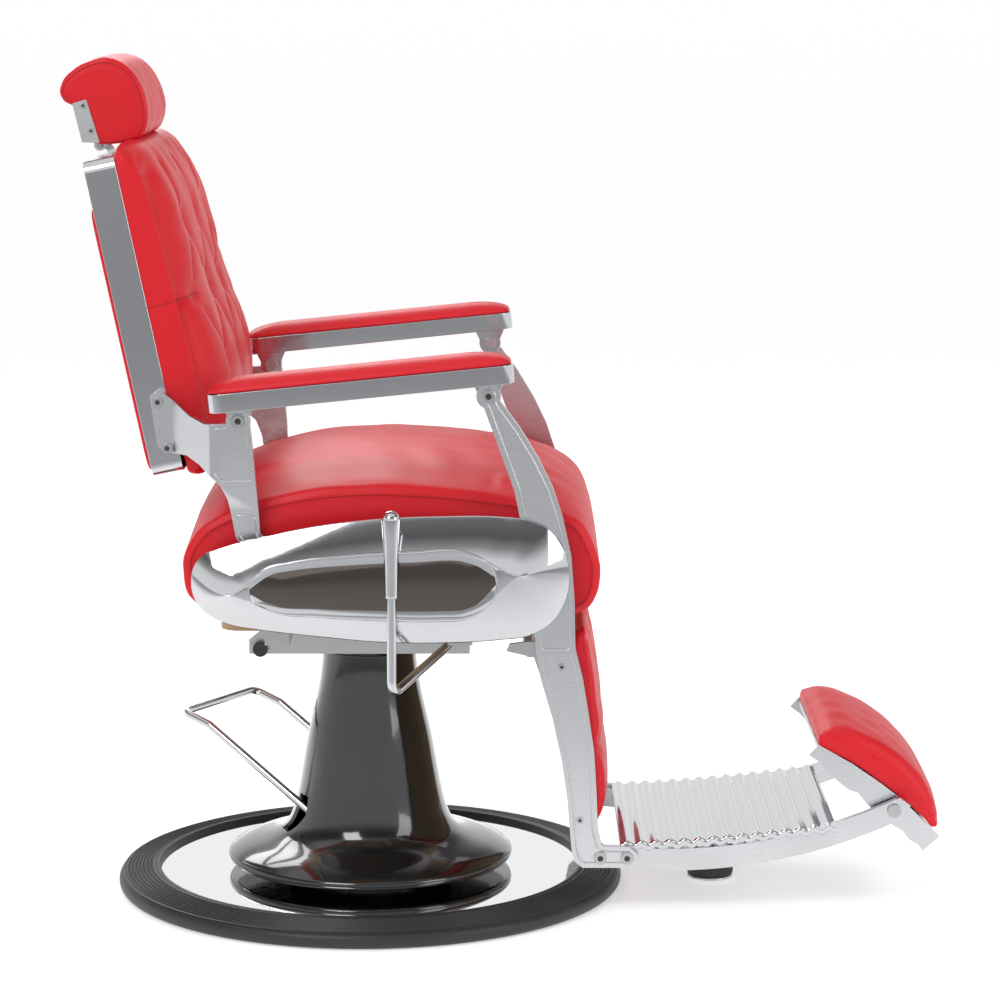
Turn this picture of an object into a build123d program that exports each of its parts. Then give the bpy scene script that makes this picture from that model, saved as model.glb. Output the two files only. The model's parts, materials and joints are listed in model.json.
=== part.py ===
from build123d import *
from math import cos, radians, sin, sqrt, tan
import os

# Hydraulic barber chair. Millimetres, +Z up, origin on the swivel axis at the floor.
# The sitter faces +X, so the sitter's right side is -Y. Most plates are drawn in the
# side plane (X, Z) and stand at a distance from the centre plane.

# ---------------------------------------------------------------- driving dimensions

RIM_RADIUS = 325.0            # rubber rim of the base, outside
DISC_RADIUS = 271.0           # base plate and its mirror disc
PLATE_TOP = 20.0
DISC_THICKNESS = 2.0
DISC_TOP = PLATE_TOP + DISC_THICKNESS
RIM_TOP = 29.0

RAM_RADIUS = 22.0
RAM_BOTTOM = 60.0
RAM_COLLAR_BOTTOM = 312.0
RAM_COLLAR_TOP = 318.0
RAM_COLLAR_RADIUS = 32.0
SWIVEL_RADIUS = 18.0
SWIVEL_TOP = 343.0
WASHER_THICKNESS = 2.0
RUNNING_FIT = 0.05            # radial clearance of a shaft in its bore
SLACK = 0.3                   # gap between pieces that pass each other

CONE_TOP = 306.0
CONE_WALL = 3.0
FLANGE_BOTTOM = 33.0          # underside of the cover's flange
COVER_FOOT_RADIUS = 104.0     # ring the cover stands on

PEDAL_HEADING = 149.0         # plan direction of the pump pedal, degrees from +X
PEDAL_HALF_WIDTH = 80.0
PEDAL_PIVOT_HEIGHT = 77.0
PEDAL_ROD_RADIUS = 5.0
PEDAL_SLOPE = 31.4            # rise of the pedal arms at rest, degrees
PEDAL_BEND_REACH = 197.0
PEDAL_END_REACH = 238.0
PEDAL_END_HEIGHT = 210.0
PEDAL_PIN_RADIUS = 6.0
PLUNGER_REACH = 52.0
PLUNGER_RADIUS = 8.0

RECLINE_PIVOT = (-83.0, 442.0)       # A: back on seat frame, in the side plane
REAR_ARM_PIVOT = (-142.0, 640.0)     # C: armrest on back bracket
FRONT_ARM_PIVOT = (154.5, 669.5)     # D: armrest on front post
LEG_PIVOT = (                        # B: leg frame on seat frame, closes the parallelogram
    RECLINE_PIVOT[0] + FRONT_ARM_PIVOT[0] - REAR_ARM_PIVOT[0],
    RECLINE_PIVOT[1] + FRONT_ARM_PIVOT[1] - REAR_ARM_PIVOT[1],
)
RECLINE_RANGE = 45.0
EYE_RADIUS = 20.0
ARM_EYE_RADIUS = 14.5
PIVOT_PIN_RADIUS = 8.0
ARM_PIN_RADIUS = 5.0

SIDE_PLATE_NEAR = 268.0       # distances from the centre plane
SIDE_PLATE_FAR = 274.0
LOWER_BRACKET_NEAR = 274.3
LOWER_BRACKET_FAR = 284.0
POST_NEAR = 286.0
POST_FAR = 298.0
COVER_NEAR = 300.0
COVER_FAR = 326.0
COVER_WALL = 2.5
WINDOW_DEPTH = 1.2

SEAT_PLATE_BOTTOM = 322.0
SEAT_PLATE_TOP = 336.0
SEAT_PLATE_REAR = -122.0
SEAT_PLATE_FRONT = 130.0
SEAT_PLATE_HALF = 115.0
SEAT_FLANGE = 4.0
CROSS_BAR_BOTTOM = 365.0
CROSS_BAR_TOP = 380.0
CROSS_BAR_PLACES = (-100.0, 120.0)
CROSS_BAR_WIDTH = 30.0
BOARD_TOP = 392.0
SEAT_HALF_WIDTH = 262.0

LEVER_PIVOT = (104.0, 350.0)
LEVER_ROD_RADIUS = 5.5
LEVER_OUT = 345.0
LOCK_SIDE = 62.0              # lock cylinder, offset to the sitter's left
LOCK_HEIGHT = 350.0
LOCK_RADIUS = 14.0
LOCK_ROD_RADIUS = 7.0
LOCK_PIN_RADIUS = 6.0

BACK_ANGLE = 11.7             # rearward lean of the back, degrees from vertical
BACK_CORNER = (-249.6, 564.0)   # lower rear corner of the back frame
BACK_LENGTH = 386.0
BACK_DEPTH = 38.0
BACK_HALF_WIDTH = 240.0
BACK_WALL = 3.0

HEADREST_PIVOT = (-333.0, 951.0)
HEADREST_HALF_WIDTH = 112.0

ARM_CENTRE = 305.0
ARM_HALF_WIDTH = 35.0
ARM_RAIL_HEIGHT = 22.0

PANEL_NEAR = 158.0            # leg panels
PANEL_FAR = 167.0
RAIL_NEAR = 148.0             # footrest rails
FOOT_PLATE_HALF = 147.0
PAD_PIVOT = (660.0, 131.0)    # flip footpad on the rails
PAD_SIDE_NEAR = 137.0
PAD_SIDE_FAR = 142.0

os.makedirs("parts", exist_ok=True)


# ------------------------------------------------------------------------- helpers

def save(piece, name):
    """Label a finished piece and write it as parts/name.step."""
    piece.part.label = name
    export_step(piece.part, f"parts/{name}.step")


def side_plane(distance):
    """Side plane on the sitter's right, at a distance from the centre plane."""
    return Plane.XZ.offset(distance)


def pin_at(place, radius, near, far):
    """Add a round pin across the chair at a point of the side plane."""
    with BuildSketch(side_plane(near)) as section:
        with Locations(place):
            Circle(radius)
    extrude(section.sketch, amount=far - near)


def bore_at(place, radius, near, far):
    """Cut a round hole across the chair at a point of the side plane."""
    with BuildSketch(side_plane(near)) as section:
        with Locations(place):
            Circle(radius)
    extrude(section.sketch, amount=far - near, mode=Mode.SUBTRACT)


def outline_plate(points, near, far, mode=Mode.ADD):
    """Add a plate with a straight-sided outline drawn in the side plane."""
    with BuildSketch(side_plane(near)) as section:
        with BuildLine():
            Polyline(*points, close=True)
        make_face()
    extrude(section.sketch, amount=far - near, mode=mode)


def pair_of(piece):
    """Add a piece and its mirror image about the centre plane."""
    add(piece.part)
    mirror(piece.part, about=Plane.XZ)


# ---------------------------------------------------------------------------- base

BOLT_PLACES = PolarLocations(70.0, 4, start_angle=12.0).locations
BOLT_RADIUS = 6.0
BOLT_HEAD_RADIUS = 10.0
PUMP_FLANGE_RADIUS = 95.0
PUMP_FLANGE_TOP = 32.0

with BuildPart() as base_plate:
    with BuildSketch():
        Circle(DISC_RADIUS)
    extrude(amount=PLATE_TOP)
    with BuildSketch():
        with Locations(*BOLT_PLACES):
            Circle(BOLT_RADIUS)
    extrude(amount=PLATE_TOP, mode=Mode.SUBTRACT)
save(base_plate, "base_plate")

with BuildPart() as mirror_disc:
    with BuildSketch(Plane.XY.offset(PLATE_TOP)):
        Circle(DISC_RADIUS)
        Circle(PUMP_FLANGE_RADIUS + 5.0, mode=Mode.SUBTRACT)
    extrude(amount=DISC_THICKNESS)
save(mirror_disc, "mirror_disc")

with BuildPart() as rubber_rim:
    with BuildSketch(Plane.XZ):
        with BuildLine():
            Polyline((DISC_RADIUS, RIM_TOP - 2.0), (DISC_RADIUS, 0), (RIM_RADIUS - 6.0, 0))
            ThreePointArc((RIM_RADIUS - 6.0, 0), (RIM_RADIUS, 10.0), (RIM_RADIUS - 5.0, 20.0))
            Line((RIM_RADIUS - 5.0, 20.0), (DISC_RADIUS + 5.0, RIM_TOP))
            Line((DISC_RADIUS + 5.0, RIM_TOP), (DISC_RADIUS, RIM_TOP - 2.0))
        make_face()
    revolve(axis=Axis.Z)
save(rubber_rim, "rubber_rim")

with BuildPart() as base_bolts:
    with BuildSketch(Plane.XY.offset(4.0)):
        with Locations(*BOLT_PLACES):
            Circle(BOLT_RADIUS)
    extrude(amount=PUMP_FLANGE_TOP - 4.0)
    with BuildSketch(Plane.XY.offset(PUMP_FLANGE_TOP)):
        with Locations(*BOLT_PLACES):
            RegularPolygon(BOLT_HEAD_RADIUS, 6)
    extrude(amount=7.0)
save(base_bolts, "base_bolts")

# ------------------------------------------------------------- pump, pedal and ram

HEADING = radians(PEDAL_HEADING)
RISE = radians(PEDAL_SLOPE)
BARREL_RADIUS = 40.0
BARREL_TOP = 262.0
BARREL_BORE = 24.0
BOSS_END = 62.0
PIN_SEAT = 14.0
PEDAL_PIN_END = PEDAL_HALF_WIDTH + 8.0
CROSS_ROD_RADIUS = 4.0
PLUNGER_TOP = PEDAL_PIVOT_HEIGHT + PLUNGER_REACH * tan(RISE) - CROSS_ROD_RADIUS - SLACK
EYE_HALF_THICKNESS = 6.0


def pedal_point(reach, side, height):
    """Point given by its reach along the pedal's heading and its distance to the side."""
    x = reach * cos(HEADING) - side * sin(HEADING)
    y = reach * sin(HEADING) + side * cos(HEADING)
    return (x, y, height)


def pedal_cross_plane(side):
    """Vertical plane along the pedal's heading, at a distance to the side."""
    origin = pedal_point(0, -side, PEDAL_PIVOT_HEIGHT)
    return Plane(origin, x_dir=(cos(HEADING), sin(HEADING), 0), z_dir=(sin(HEADING), -cos(HEADING), 0))


PLUNGER_PLACE = pedal_point(PLUNGER_REACH, 0, 0)[:2]

with BuildPart() as pump_body:
    with BuildSketch(Plane.XY.offset(PLATE_TOP)):
        Circle(PUMP_FLANGE_RADIUS)
    extrude(amount=PUMP_FLANGE_TOP - PLATE_TOP)
    with BuildSketch(Plane.XY.offset(PUMP_FLANGE_TOP)):
        Circle(BARREL_RADIUS)
    extrude(amount=BARREL_TOP - PUMP_FLANGE_TOP)
    with BuildSketch(pedal_cross_plane(-BOSS_END)):
        Circle(12.0)
    extrude(amount=2 * BOSS_END)
    with BuildSketch(Plane.XY.offset(PUMP_FLANGE_TOP)):
        with Locations(PLUNGER_PLACE):
            Circle(13.0)
        with Locations(Location((PLUNGER_PLACE[0] * 0.75, PLUNGER_PLACE[1] * 0.75), PEDAL_HEADING)):
            Rectangle(20.0, 16.0)
    extrude(amount=38.0)
    with BuildSketch(Plane.XY.offset(40.0)):
        Circle(BARREL_BORE)
    extrude(amount=BARREL_TOP - 40.0, mode=Mode.SUBTRACT)
    with BuildSketch(Plane.XY.offset(26.0)):
        with Locations(PLUNGER_PLACE):
            Circle(PLUNGER_RADIUS + RUNNING_FIT)
    extrude(amount=60.0, mode=Mode.SUBTRACT)
    with BuildSketch(Plane.XY.offset(PLATE_TOP)):
        with Locations(*BOLT_PLACES):
            Circle(BOLT_RADIUS)
    extrude(amount=PUMP_FLANGE_TOP - PLATE_TOP, mode=Mode.SUBTRACT)
    for start in (-BOSS_END, BOSS_END - PIN_SEAT):
        with BuildSketch(pedal_cross_plane(start)):
            Circle(PEDAL_PIN_RADIUS)
        extrude(amount=PIN_SEAT, mode=Mode.SUBTRACT)
save(pump_body, "pump_body")

with BuildPart() as gland_nut:
    with BuildSketch(Plane.XY.offset(BARREL_TOP)):
        RegularPolygon(38.0, 8)
    extrude(amount=20.0)
    with BuildSketch(Plane.XY.offset(BARREL_TOP)):
        Circle(RAM_RADIUS + RUNNING_FIT)
    extrude(amount=20.0, mode=Mode.SUBTRACT)
save(gland_nut, "gland_nut")

with BuildPart() as pedal_pins:
    for start in (-PEDAL_PIN_END, BOSS_END - PIN_SEAT):
        with BuildSketch(pedal_cross_plane(start)):
            Circle(PEDAL_PIN_RADIUS)
        extrude(amount=PEDAL_PIN_END - BOSS_END + PIN_SEAT)
    for start in (-PEDAL_PIN_END - 3.0, PEDAL_PIN_END):
        with BuildSketch(pedal_cross_plane(start)):
            Circle(PEDAL_PIN_RADIUS + 3.0)
        extrude(amount=3.0)
save(pedal_pins, "pedal_pins")

with BuildPart() as cone_cover:
    with BuildSketch(Plane.XZ):
        with BuildLine():
            Polyline((COVER_FOOT_RADIUS, DISC_TOP), (COVER_FOOT_RADIUS, FLANGE_BOTTOM), (177.0, FLANGE_BOTTOM))
            ThreePointArc((177.0, FLANGE_BOTTOM), (183.0, 37.5), (179.5, 45.5))
            Spline((179.5, 45.5), (168.0, 52.0), (153.0, 57.5), (112.0, 74.0), (96.0, 108.0), (80.0, 193.0),
                   (66.0, 256.0), (60.0, CONE_TOP))
            Polyline((60.0, CONE_TOP), (38.0, CONE_TOP), (38.0, CONE_TOP - CONE_WALL),
                     (57.0, CONE_TOP - CONE_WALL))
            Spline((57.0, CONE_TOP - CONE_WALL), (63.0, 255.0), (77.0, 192.0), (93.0, 107.0),
                   (109.0, 71.5), (151.5, 54.3), (166.5, 49.0), (176.5, 43.5))
            ThreePointArc((176.5, 43.5), (179.5, 38.5), (175.0, FLANGE_BOTTOM + CONE_WALL))
            Polyline((175.0, FLANGE_BOTTOM + CONE_WALL), (COVER_FOOT_RADIUS - CONE_WALL, FLANGE_BOTTOM + CONE_WALL),
                     (COVER_FOOT_RADIUS - CONE_WALL, DISC_TOP), (COVER_FOOT_RADIUS, DISC_TOP))
        make_face()
    revolve(axis=Axis.Z)
    for side in (-PEDAL_HALF_WIDTH, PEDAL_HALF_WIDTH):
        with BuildSketch(pedal_cross_plane(side - 10.0)):
            with Locations((80.0, 20.0)):
                Rectangle(80.0, 50.0)
        extrude(amount=20.0, mode=Mode.SUBTRACT)
save(cone_cover, "cone_cover")

with BuildPart() as foot_pedal:
    start_height = PEDAL_PIVOT_HEIGHT + 9.0 * sin(RISE)
    bend_height = PEDAL_PIVOT_HEIGHT + PEDAL_BEND_REACH * tan(RISE)
    with BuildLine():
        pedal_path = FilletPolyline(
            pedal_point(9.0 * cos(RISE), -PEDAL_HALF_WIDTH, start_height),
            pedal_point(PEDAL_BEND_REACH, -PEDAL_HALF_WIDTH, bend_height),
            pedal_point(PEDAL_END_REACH, -PEDAL_HALF_WIDTH, PEDAL_END_HEIGHT),
            pedal_point(PEDAL_END_REACH, PEDAL_HALF_WIDTH, PEDAL_END_HEIGHT),
            pedal_point(PEDAL_BEND_REACH, PEDAL_HALF_WIDTH, bend_height),
            pedal_point(9.0 * cos(RISE), PEDAL_HALF_WIDTH, start_height),
            radius=12.0,
        )
    with BuildSketch(pedal_path ^ 0):
        Circle(PEDAL_ROD_RADIUS)
    sweep()
    for side in (-PEDAL_HALF_WIDTH, PEDAL_HALF_WIDTH):
        with BuildSketch(pedal_cross_plane(side - EYE_HALF_THICKNESS)):
            Circle(12.0)
        extrude(amount=2 * EYE_HALF_THICKNESS)
        with BuildSketch(pedal_cross_plane(side - EYE_HALF_THICKNESS)):
            Circle(PEDAL_PIN_RADIUS + RUNNING_FIT)
        extrude(amount=2 * EYE_HALF_THICKNESS, mode=Mode.SUBTRACT)
    with BuildSketch(pedal_cross_plane(-PEDAL_HALF_WIDTH)):
        with Locations((PLUNGER_REACH, PLUNGER_REACH * tan(RISE))):
            Circle(CROSS_ROD_RADIUS)
    extrude(amount=2 * PEDAL_HALF_WIDTH)
save(foot_pedal, "foot_pedal")

with BuildPart() as pump_plunger:
    with BuildSketch(Plane.XY.offset(56.0)):
        with Locations(PLUNGER_PLACE):
            Circle(PLUNGER_RADIUS)
    extrude(amount=PLUNGER_TOP - 56.0)
    with BuildSketch(Plane.XY.offset(PLUNGER_TOP - 4.0)):
        with Locations(PLUNGER_PLACE):
            Circle(PLUNGER_RADIUS + 2.5)
    extrude(amount=4.0)
save(pump_plunger, "pump_plunger")

with BuildPart() as ram:
    with BuildSketch(Plane.XY.offset(RAM_BOTTOM)):
        Circle(RAM_RADIUS)
    extrude(amount=RAM_COLLAR_BOTTOM - RAM_BOTTOM)
    with BuildSketch(Plane.XY.offset(RAM_COLLAR_BOTTOM)):
        Circle(RAM_COLLAR_RADIUS)
    extrude(amount=RAM_COLLAR_TOP - RAM_COLLAR_BOTTOM)
    with BuildSketch(Plane.XY.offset(RAM_COLLAR_TOP)):
        Circle(SWIVEL_RADIUS)
    extrude(amount=SWIVEL_TOP - RAM_COLLAR_TOP)
save(ram, "ram")

with BuildPart() as swivel_washer:
    with BuildSketch(Plane.XY.offset(RAM_COLLAR_TOP)):
        Circle(RAM_COLLAR_RADIUS)
        Circle(SWIVEL_RADIUS, mode=Mode.SUBTRACT)
    extrude(amount=WASHER_THICKNESS)
save(swivel_washer, "swivel_washer")

# ---------------------------------------------------------------------- seat frame

HUB_RADIUS = 40.0
HUB_BOTTOM = RAM_COLLAR_TOP + WASHER_THICKNESS + 0.05
HUB_TOP = 346.0
TUBE_PLACE = (-131.6, 329.0)
TUBE_RADIUS = 8.5
SEAT_PLATE_SPAN = SEAT_PLATE_FRONT - SEAT_PLATE_REAR
SEAT_PLATE_MIDDLE = (SEAT_PLATE_FRONT + SEAT_PLATE_REAR) / 2

with BuildPart() as seat_plate:
    with BuildSketch(Plane.XY.offset(SEAT_PLATE_BOTTOM)):
        with Locations((SEAT_PLATE_MIDDLE, 0)):
            Rectangle(SEAT_PLATE_SPAN, 2 * SEAT_PLATE_HALF)
    extrude(amount=SEAT_PLATE_TOP - SEAT_PLATE_BOTTOM)
    with BuildSketch(Plane.XY.offset(HUB_BOTTOM)):
        Circle(HUB_RADIUS)
    extrude(amount=HUB_TOP - HUB_BOTTOM)
    for near in (-SEAT_PLATE_HALF, SEAT_PLATE_HALF - SEAT_FLANGE):
        outline_plate(
            [(-146.0, SEAT_PLATE_BOTTOM), (SEAT_PLATE_FRONT, SEAT_PLATE_BOTTOM),
             (SEAT_PLATE_FRONT, CROSS_BAR_BOTTOM), (-115.0, CROSS_BAR_BOTTOM), (-146.0, 340.0)],
            near, near + SEAT_FLANGE)
    outline_plate(
        [(90.0, SEAT_PLATE_TOP), (118.0, SEAT_PLATE_TOP), (114.0, 362.0), (94.0, 362.0)], -28.0, -20.0)
    bore_at(TUBE_PLACE, TUBE_RADIUS, -SEAT_PLATE_HALF, SEAT_PLATE_HALF)
    bore_at(LEVER_PIVOT, LEVER_ROD_RADIUS + RUNNING_FIT, -30.0, SEAT_PLATE_HALF)
    with BuildSketch(Plane.XY.offset(HUB_BOTTOM)):
        Circle(SWIVEL_RADIUS + RUNNING_FIT)
    extrude(amount=HUB_TOP - HUB_BOTTOM, mode=Mode.SUBTRACT)
save(seat_plate, "seat_plate")

with BuildPart() as rear_cross_tube:
    pin_at(TUBE_PLACE, TUBE_RADIUS, -120.0, 120.0)
    bore_at(TUBE_PLACE, TUBE_RADIUS - 1.8, -120.0, 120.0)
save(rear_cross_tube, "rear_cross_tube")

with BuildPart() as tube_caps:
    for near in (-124.0, 120.0):
        pin_at(TUBE_PLACE, TUBE_RADIUS + 0.8, near, near + 4.0)
save(tube_caps, "tube_caps")

with BuildPart() as seat_cross_bars:
    for place in CROSS_BAR_PLACES:
        with BuildSketch(Plane.XY.offset(CROSS_BAR_BOTTOM)):
            with Locations((place, 0)):
                Rectangle(CROSS_BAR_WIDTH, 2 * SIDE_PLATE_NEAR)
        extrude(amount=CROSS_BAR_TOP - CROSS_BAR_BOTTOM)
save(seat_cross_bars, "seat_cross_bars")

SIDE_PLATE_OUTLINE = [
    (-160.0, 404.0), (-160.0, 466.0), (-100.0, 480.0), (60.0, 492.0), (228.0, 490.0), (236.0, 450.0),
    (228.0, 392.0), (135.0, 384.0), (135.0, CROSS_BAR_BOTTOM), (105.0, CROSS_BAR_BOTTOM), (105.0, 384.0),
    (-85.0, 388.0), (-85.0, CROSS_BAR_BOTTOM), (-115.0, CROSS_BAR_BOTTOM), (-115.0, 392.0),
]
STANDOFF_PLACES = ((-10.0, 440.0), (110.0, 440.0))
STANDOFF_RADIUS = 7.0

with BuildPart() as right_side_plate:
    outline_plate(SIDE_PLATE_OUTLINE, SIDE_PLATE_NEAR, SIDE_PLATE_FAR)
    for place in (RECLINE_PIVOT, LEG_PIVOT):
        bore_at(place, PIVOT_PIN_RADIUS, SIDE_PLATE_NEAR, SIDE_PLATE_FAR)
with BuildPart() as seat_side_plates:
    pair_of(right_side_plate)
save(seat_side_plates, "seat_side_plates")

with BuildPart() as right_seat_pins:
    pin_at(RECLINE_PIVOT, PIVOT_PIN_RADIUS, SIDE_PLATE_NEAR, LOWER_BRACKET_FAR + SLACK)
    pin_at(RECLINE_PIVOT, PIVOT_PIN_RADIUS + 5.0, LOWER_BRACKET_FAR + SLACK, LOWER_BRACKET_FAR + 4.0)
with BuildPart() as right_leg_pin:
    pin_at(LEG_PIVOT, PIVOT_PIN_RADIUS, SIDE_PLATE_NEAR, POST_FAR + SLACK)
    pin_at(LEG_PIVOT, PIVOT_PIN_RADIUS + 5.0, SIDE_PLATE_FAR, POST_NEAR - SLACK)
    pin_at(LEG_PIVOT, PIVOT_PIN_RADIUS + 5.0, POST_FAR + SLACK, POST_FAR + 4.0)
with BuildPart() as seat_pivot_pins:
    pair_of(right_seat_pins)
    pair_of(right_leg_pin)
save(seat_pivot_pins, "seat_pivot_pins")

with BuildPart() as seat_board:
    with BuildSketch(Plane.XY.offset(CROSS_BAR_TOP)):
        with Locations((34.0, 0)):
            RectangleRounded(408.0, 2 * SEAT_HALF_WIDTH - 4.0, 25.0)
    extrude(amount=BOARD_TOP - CROSS_BAR_TOP)
save(seat_board, "seat_board")

with BuildPart() as seat_cushion:
    with BuildSketch(side_plane(-SEAT_HALF_WIDTH)):
        with BuildLine():
            ThreePointArc((-190.0, BOARD_TOP), (-213.0, 460.0), (-182.0, 530.0))
            ThreePointArc((-182.0, 530.0), (0.0, 583.0), (235.0, 556.0))
            ThreePointArc((235.0, 556.0), (289.0, 480.0), (262.0, BOARD_TOP))
            Line((262.0, BOARD_TOP), (-190.0, BOARD_TOP))
        make_face()
    extrude(amount=2 * SEAT_HALF_WIDTH)
    fillet(seat_cushion.faces().sort_by(Axis.Y)[0].edges().group_by(Axis.Z)[-1], radius=22.0)
    fillet(seat_cushion.faces().sort_by(Axis.Y)[-1].edges().group_by(Axis.Z)[-1], radius=22.0)
save(seat_cushion, "seat_cushion")

# ------------------------------------------------------------- side covers, windows

WINDOW_FACE = COVER_FAR - WINDOW_DEPTH


def cover_outline(inset):
    """Draw the cover's outline, a long crowned shape with round ends, inset all round."""
    with BuildSketch(side_plane(COVER_NEAR)) as shape:
        with BuildLine():
            ThreePointArc((-165.0, 487.0), (-200.0, 446.0), (-160.0, 397.0))
            ThreePointArc((-160.0, 397.0), (30.0, 373.0), (203.0, 382.0))
            ThreePointArc((203.0, 382.0), (251.0, 449.0), (221.0, 513.0))
            ThreePointArc((221.0, 513.0), (60.0, 526.5), (-165.0, 487.0))
        make_face()
        offset(amount=-inset, kind=Kind.INTERSECTION, mode=Mode.REPLACE)
    return shape.sketch


def window_outline(distance, grow):
    """Draw the window's outline at a distance from the centre plane, grown all round."""
    with BuildSketch(side_plane(distance)) as shape:
        with BuildLine():
            ThreePointArc((-112.0, 467.0), (-128.0, 442.0), (-112.0, 419.0))
            ThreePointArc((-112.0, 419.0), (10.0, 404.5), (130.0, 407.0))
            ThreePointArc((130.0, 407.0), (163.0, 446.0), (130.0, 488.0))
            ThreePointArc((130.0, 488.0), (10.0, 486.5), (-112.0, 467.0))
        make_face()
        offset(amount=grow, kind=Kind.INTERSECTION, mode=Mode.REPLACE)
    return shape.sketch


COVER_STEPS = ((0.0, COVER_NEAR, 312.0), (4.0, 312.0, 319.0), (11.0, 319.0, 323.5), (20.0, 323.5, COVER_FAR))

with BuildPart() as right_side_cover:
    for inset, near, far in COVER_STEPS:
        extrude(Pos(0, COVER_NEAR - near, 0) * cover_outline(inset), amount=far - near)
    extrude(cover_outline(COVER_WALL + 5.0), amount=312.0 - COVER_NEAR, mode=Mode.SUBTRACT)
    extrude(Pos(0, COVER_NEAR - 312.0, 0) * cover_outline(13.0), amount=9.0, mode=Mode.SUBTRACT)
    extrude(window_outline(WINDOW_FACE, 0.0), amount=WINDOW_DEPTH, mode=Mode.SUBTRACT)
save(right_side_cover, "right_side_cover")

with BuildPart() as left_side_cover:
    mirror(right_side_cover.part, about=Plane.XZ)
save(left_side_cover, "left_side_cover")

with BuildPart() as right_window:
    extrude(window_outline(WINDOW_FACE, 0.0), amount=WINDOW_DEPTH)
with BuildPart() as cover_windows:
    pair_of(right_window)
save(cover_windows, "cover_windows")

with BuildPart() as right_standoffs:
    for place in STANDOFF_PLACES:
        pin_at(place, STANDOFF_RADIUS, SIDE_PLATE_FAR, 321.0)
with BuildPart() as cover_standoffs:
    pair_of(right_standoffs)
save(cover_standoffs, "cover_standoffs")

# ---------------------------------------------------------- recline lever and lock

GRIP_BOTTOM = (-LEVER_OUT, 436.0)
GRIP_TOP_HEIGHT = 540.0
GRIP_PLACE = 40.0

with BuildPart() as lever_rod:
    with BuildLine():
        lever_path = FilletPolyline(
            (GRIP_PLACE, -LEVER_OUT, 520.0), (GRIP_PLACE, -LEVER_OUT, 319.0),
            (LEVER_PIVOT[0], -205.0, LEVER_PIVOT[1]), (LEVER_PIVOT[0], 46.0, LEVER_PIVOT[1]),
            radius=14.0)
    with BuildSketch(lever_path ^ 0):
        Circle(LEVER_ROD_RADIUS)
    sweep()
    outline_plate([(96.0, 352.0), (96.0, 362.0), (112.0, 362.0), (112.0, 352.0)], -44.0, -38.0)
save(lever_rod, "lever_rod")

with BuildPart() as lever_grip:
    with BuildSketch(Plane.XY.offset(GRIP_BOTTOM[1])):
        with Locations((GRIP_PLACE, -LEVER_OUT)):
            Circle(8.0)
    with BuildSketch(Plane.XY.offset(GRIP_TOP_HEIGHT)):
        with Locations((GRIP_PLACE, -LEVER_OUT)):
            Circle(11.0)
    loft()
    with BuildSketch(Plane.XY.offset(GRIP_BOTTOM[1])):
        with Locations((GRIP_PLACE, -LEVER_OUT)):
            Circle(LEVER_ROD_RADIUS)
    extrude(amount=520.0 - GRIP_BOTTOM[1], mode=Mode.SUBTRACT)
    fillet(lever_grip.edges().group_by(Axis.Z)[-1], radius=4.0)
save(lever_grip, "lever_grip")

# The lock's pin runs in a slot of the leg crank. The slot points at the leg pivot.
LOCK_DROP = LEG_PIVOT[1] - LOCK_HEIGHT
HALF_SWING = radians(RECLINE_RANGE / 2)
LOCK_PIN_PLACE = (LEG_PIVOT[0] - LOCK_DROP * tan(HALF_SWING), LOCK_HEIGHT)
LOCK_TRAVEL = 2 * LOCK_DROP * tan(HALF_SWING)
SLOT_REACH = LOCK_DROP / cos(HALF_SWING)
SLOT_HALF_WIDTH = LOCK_PIN_RADIUS + 1.5
CYLINDER_REAR = -60.0
CYLINDER_FRONT = 125.0
print(f"lock travel {LOCK_TRAVEL:.3f} mm")


def along_x(start):
    """Plane across the chair's length at the lock's axis."""
    return Plane((start, LOCK_SIDE, LOCK_HEIGHT), x_dir=(0, 1, 0), z_dir=(1, 0, 0))


with BuildPart() as lock_cylinder:
    with BuildSketch(along_x(CYLINDER_REAR)):
        Circle(LOCK_RADIUS)
    extrude(amount=CYLINDER_FRONT - CYLINDER_REAR)
    with BuildSketch(along_x(CYLINDER_REAR + 10.0)):
        Circle(LOCK_ROD_RADIUS + 3.0)
    extrude(amount=165.0, mode=Mode.SUBTRACT)
    with BuildSketch(along_x(CYLINDER_REAR + 20.0)):
        Circle(LOCK_ROD_RADIUS + RUNNING_FIT)
    extrude(amount=CYLINDER_FRONT - CYLINDER_REAR - 20.0, mode=Mode.SUBTRACT)
save(lock_cylinder, "lock_cylinder")

with BuildPart() as lock_rod:
    with BuildSketch(along_x(10.0)):
        Circle(LOCK_ROD_RADIUS)
    extrude(amount=LOCK_PIN_PLACE[0] - 10.0)
    with BuildSketch(along_x(-10.0)):
        Circle(LOCK_ROD_RADIUS + 2.5)
    extrude(amount=20.0)
    pin_at(LOCK_PIN_PLACE, 10.0, -LOCK_SIDE - 8.0, -LOCK_SIDE + 8.0)
    pin_at(LOCK_PIN_PLACE, LOCK_PIN_RADIUS, -LOCK_SIDE - 17.0, -LOCK_SIDE + 17.0)
save(lock_rod, "lock_rod")

# ---------------------------------------------------------------------------- back

LEAN = radians(BACK_ANGLE)
BACK_ORIGIN = (BACK_CORNER[0], 0, BACK_CORNER[1])
BACK_UP = (-sin(LEAN), 0, cos(LEAN))
BACK_FORWARD = (cos(LEAN), 0, sin(LEAN))
BACK_BASE = Plane(BACK_ORIGIN, x_dir=BACK_FORWARD, z_dir=BACK_UP)      # depth, width; height along z
BACK_SIDE = Plane(BACK_ORIGIN, x_dir=BACK_FORWARD, z_dir=(0, -1, 0))   # depth, height; side along z
BACK_FACE = Plane(BACK_ORIGIN, x_dir=(0, 1, 0), z_dir=BACK_FORWARD)    # width, height; depth along z
BAR_HALF_WIDTH = 19.0
BAR_THICKNESS = 6.0
BAR_DEPTH = 5.0               # rear face of the headrest bar, from the frame's rear
BAR_HOLE = 0.3

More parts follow.
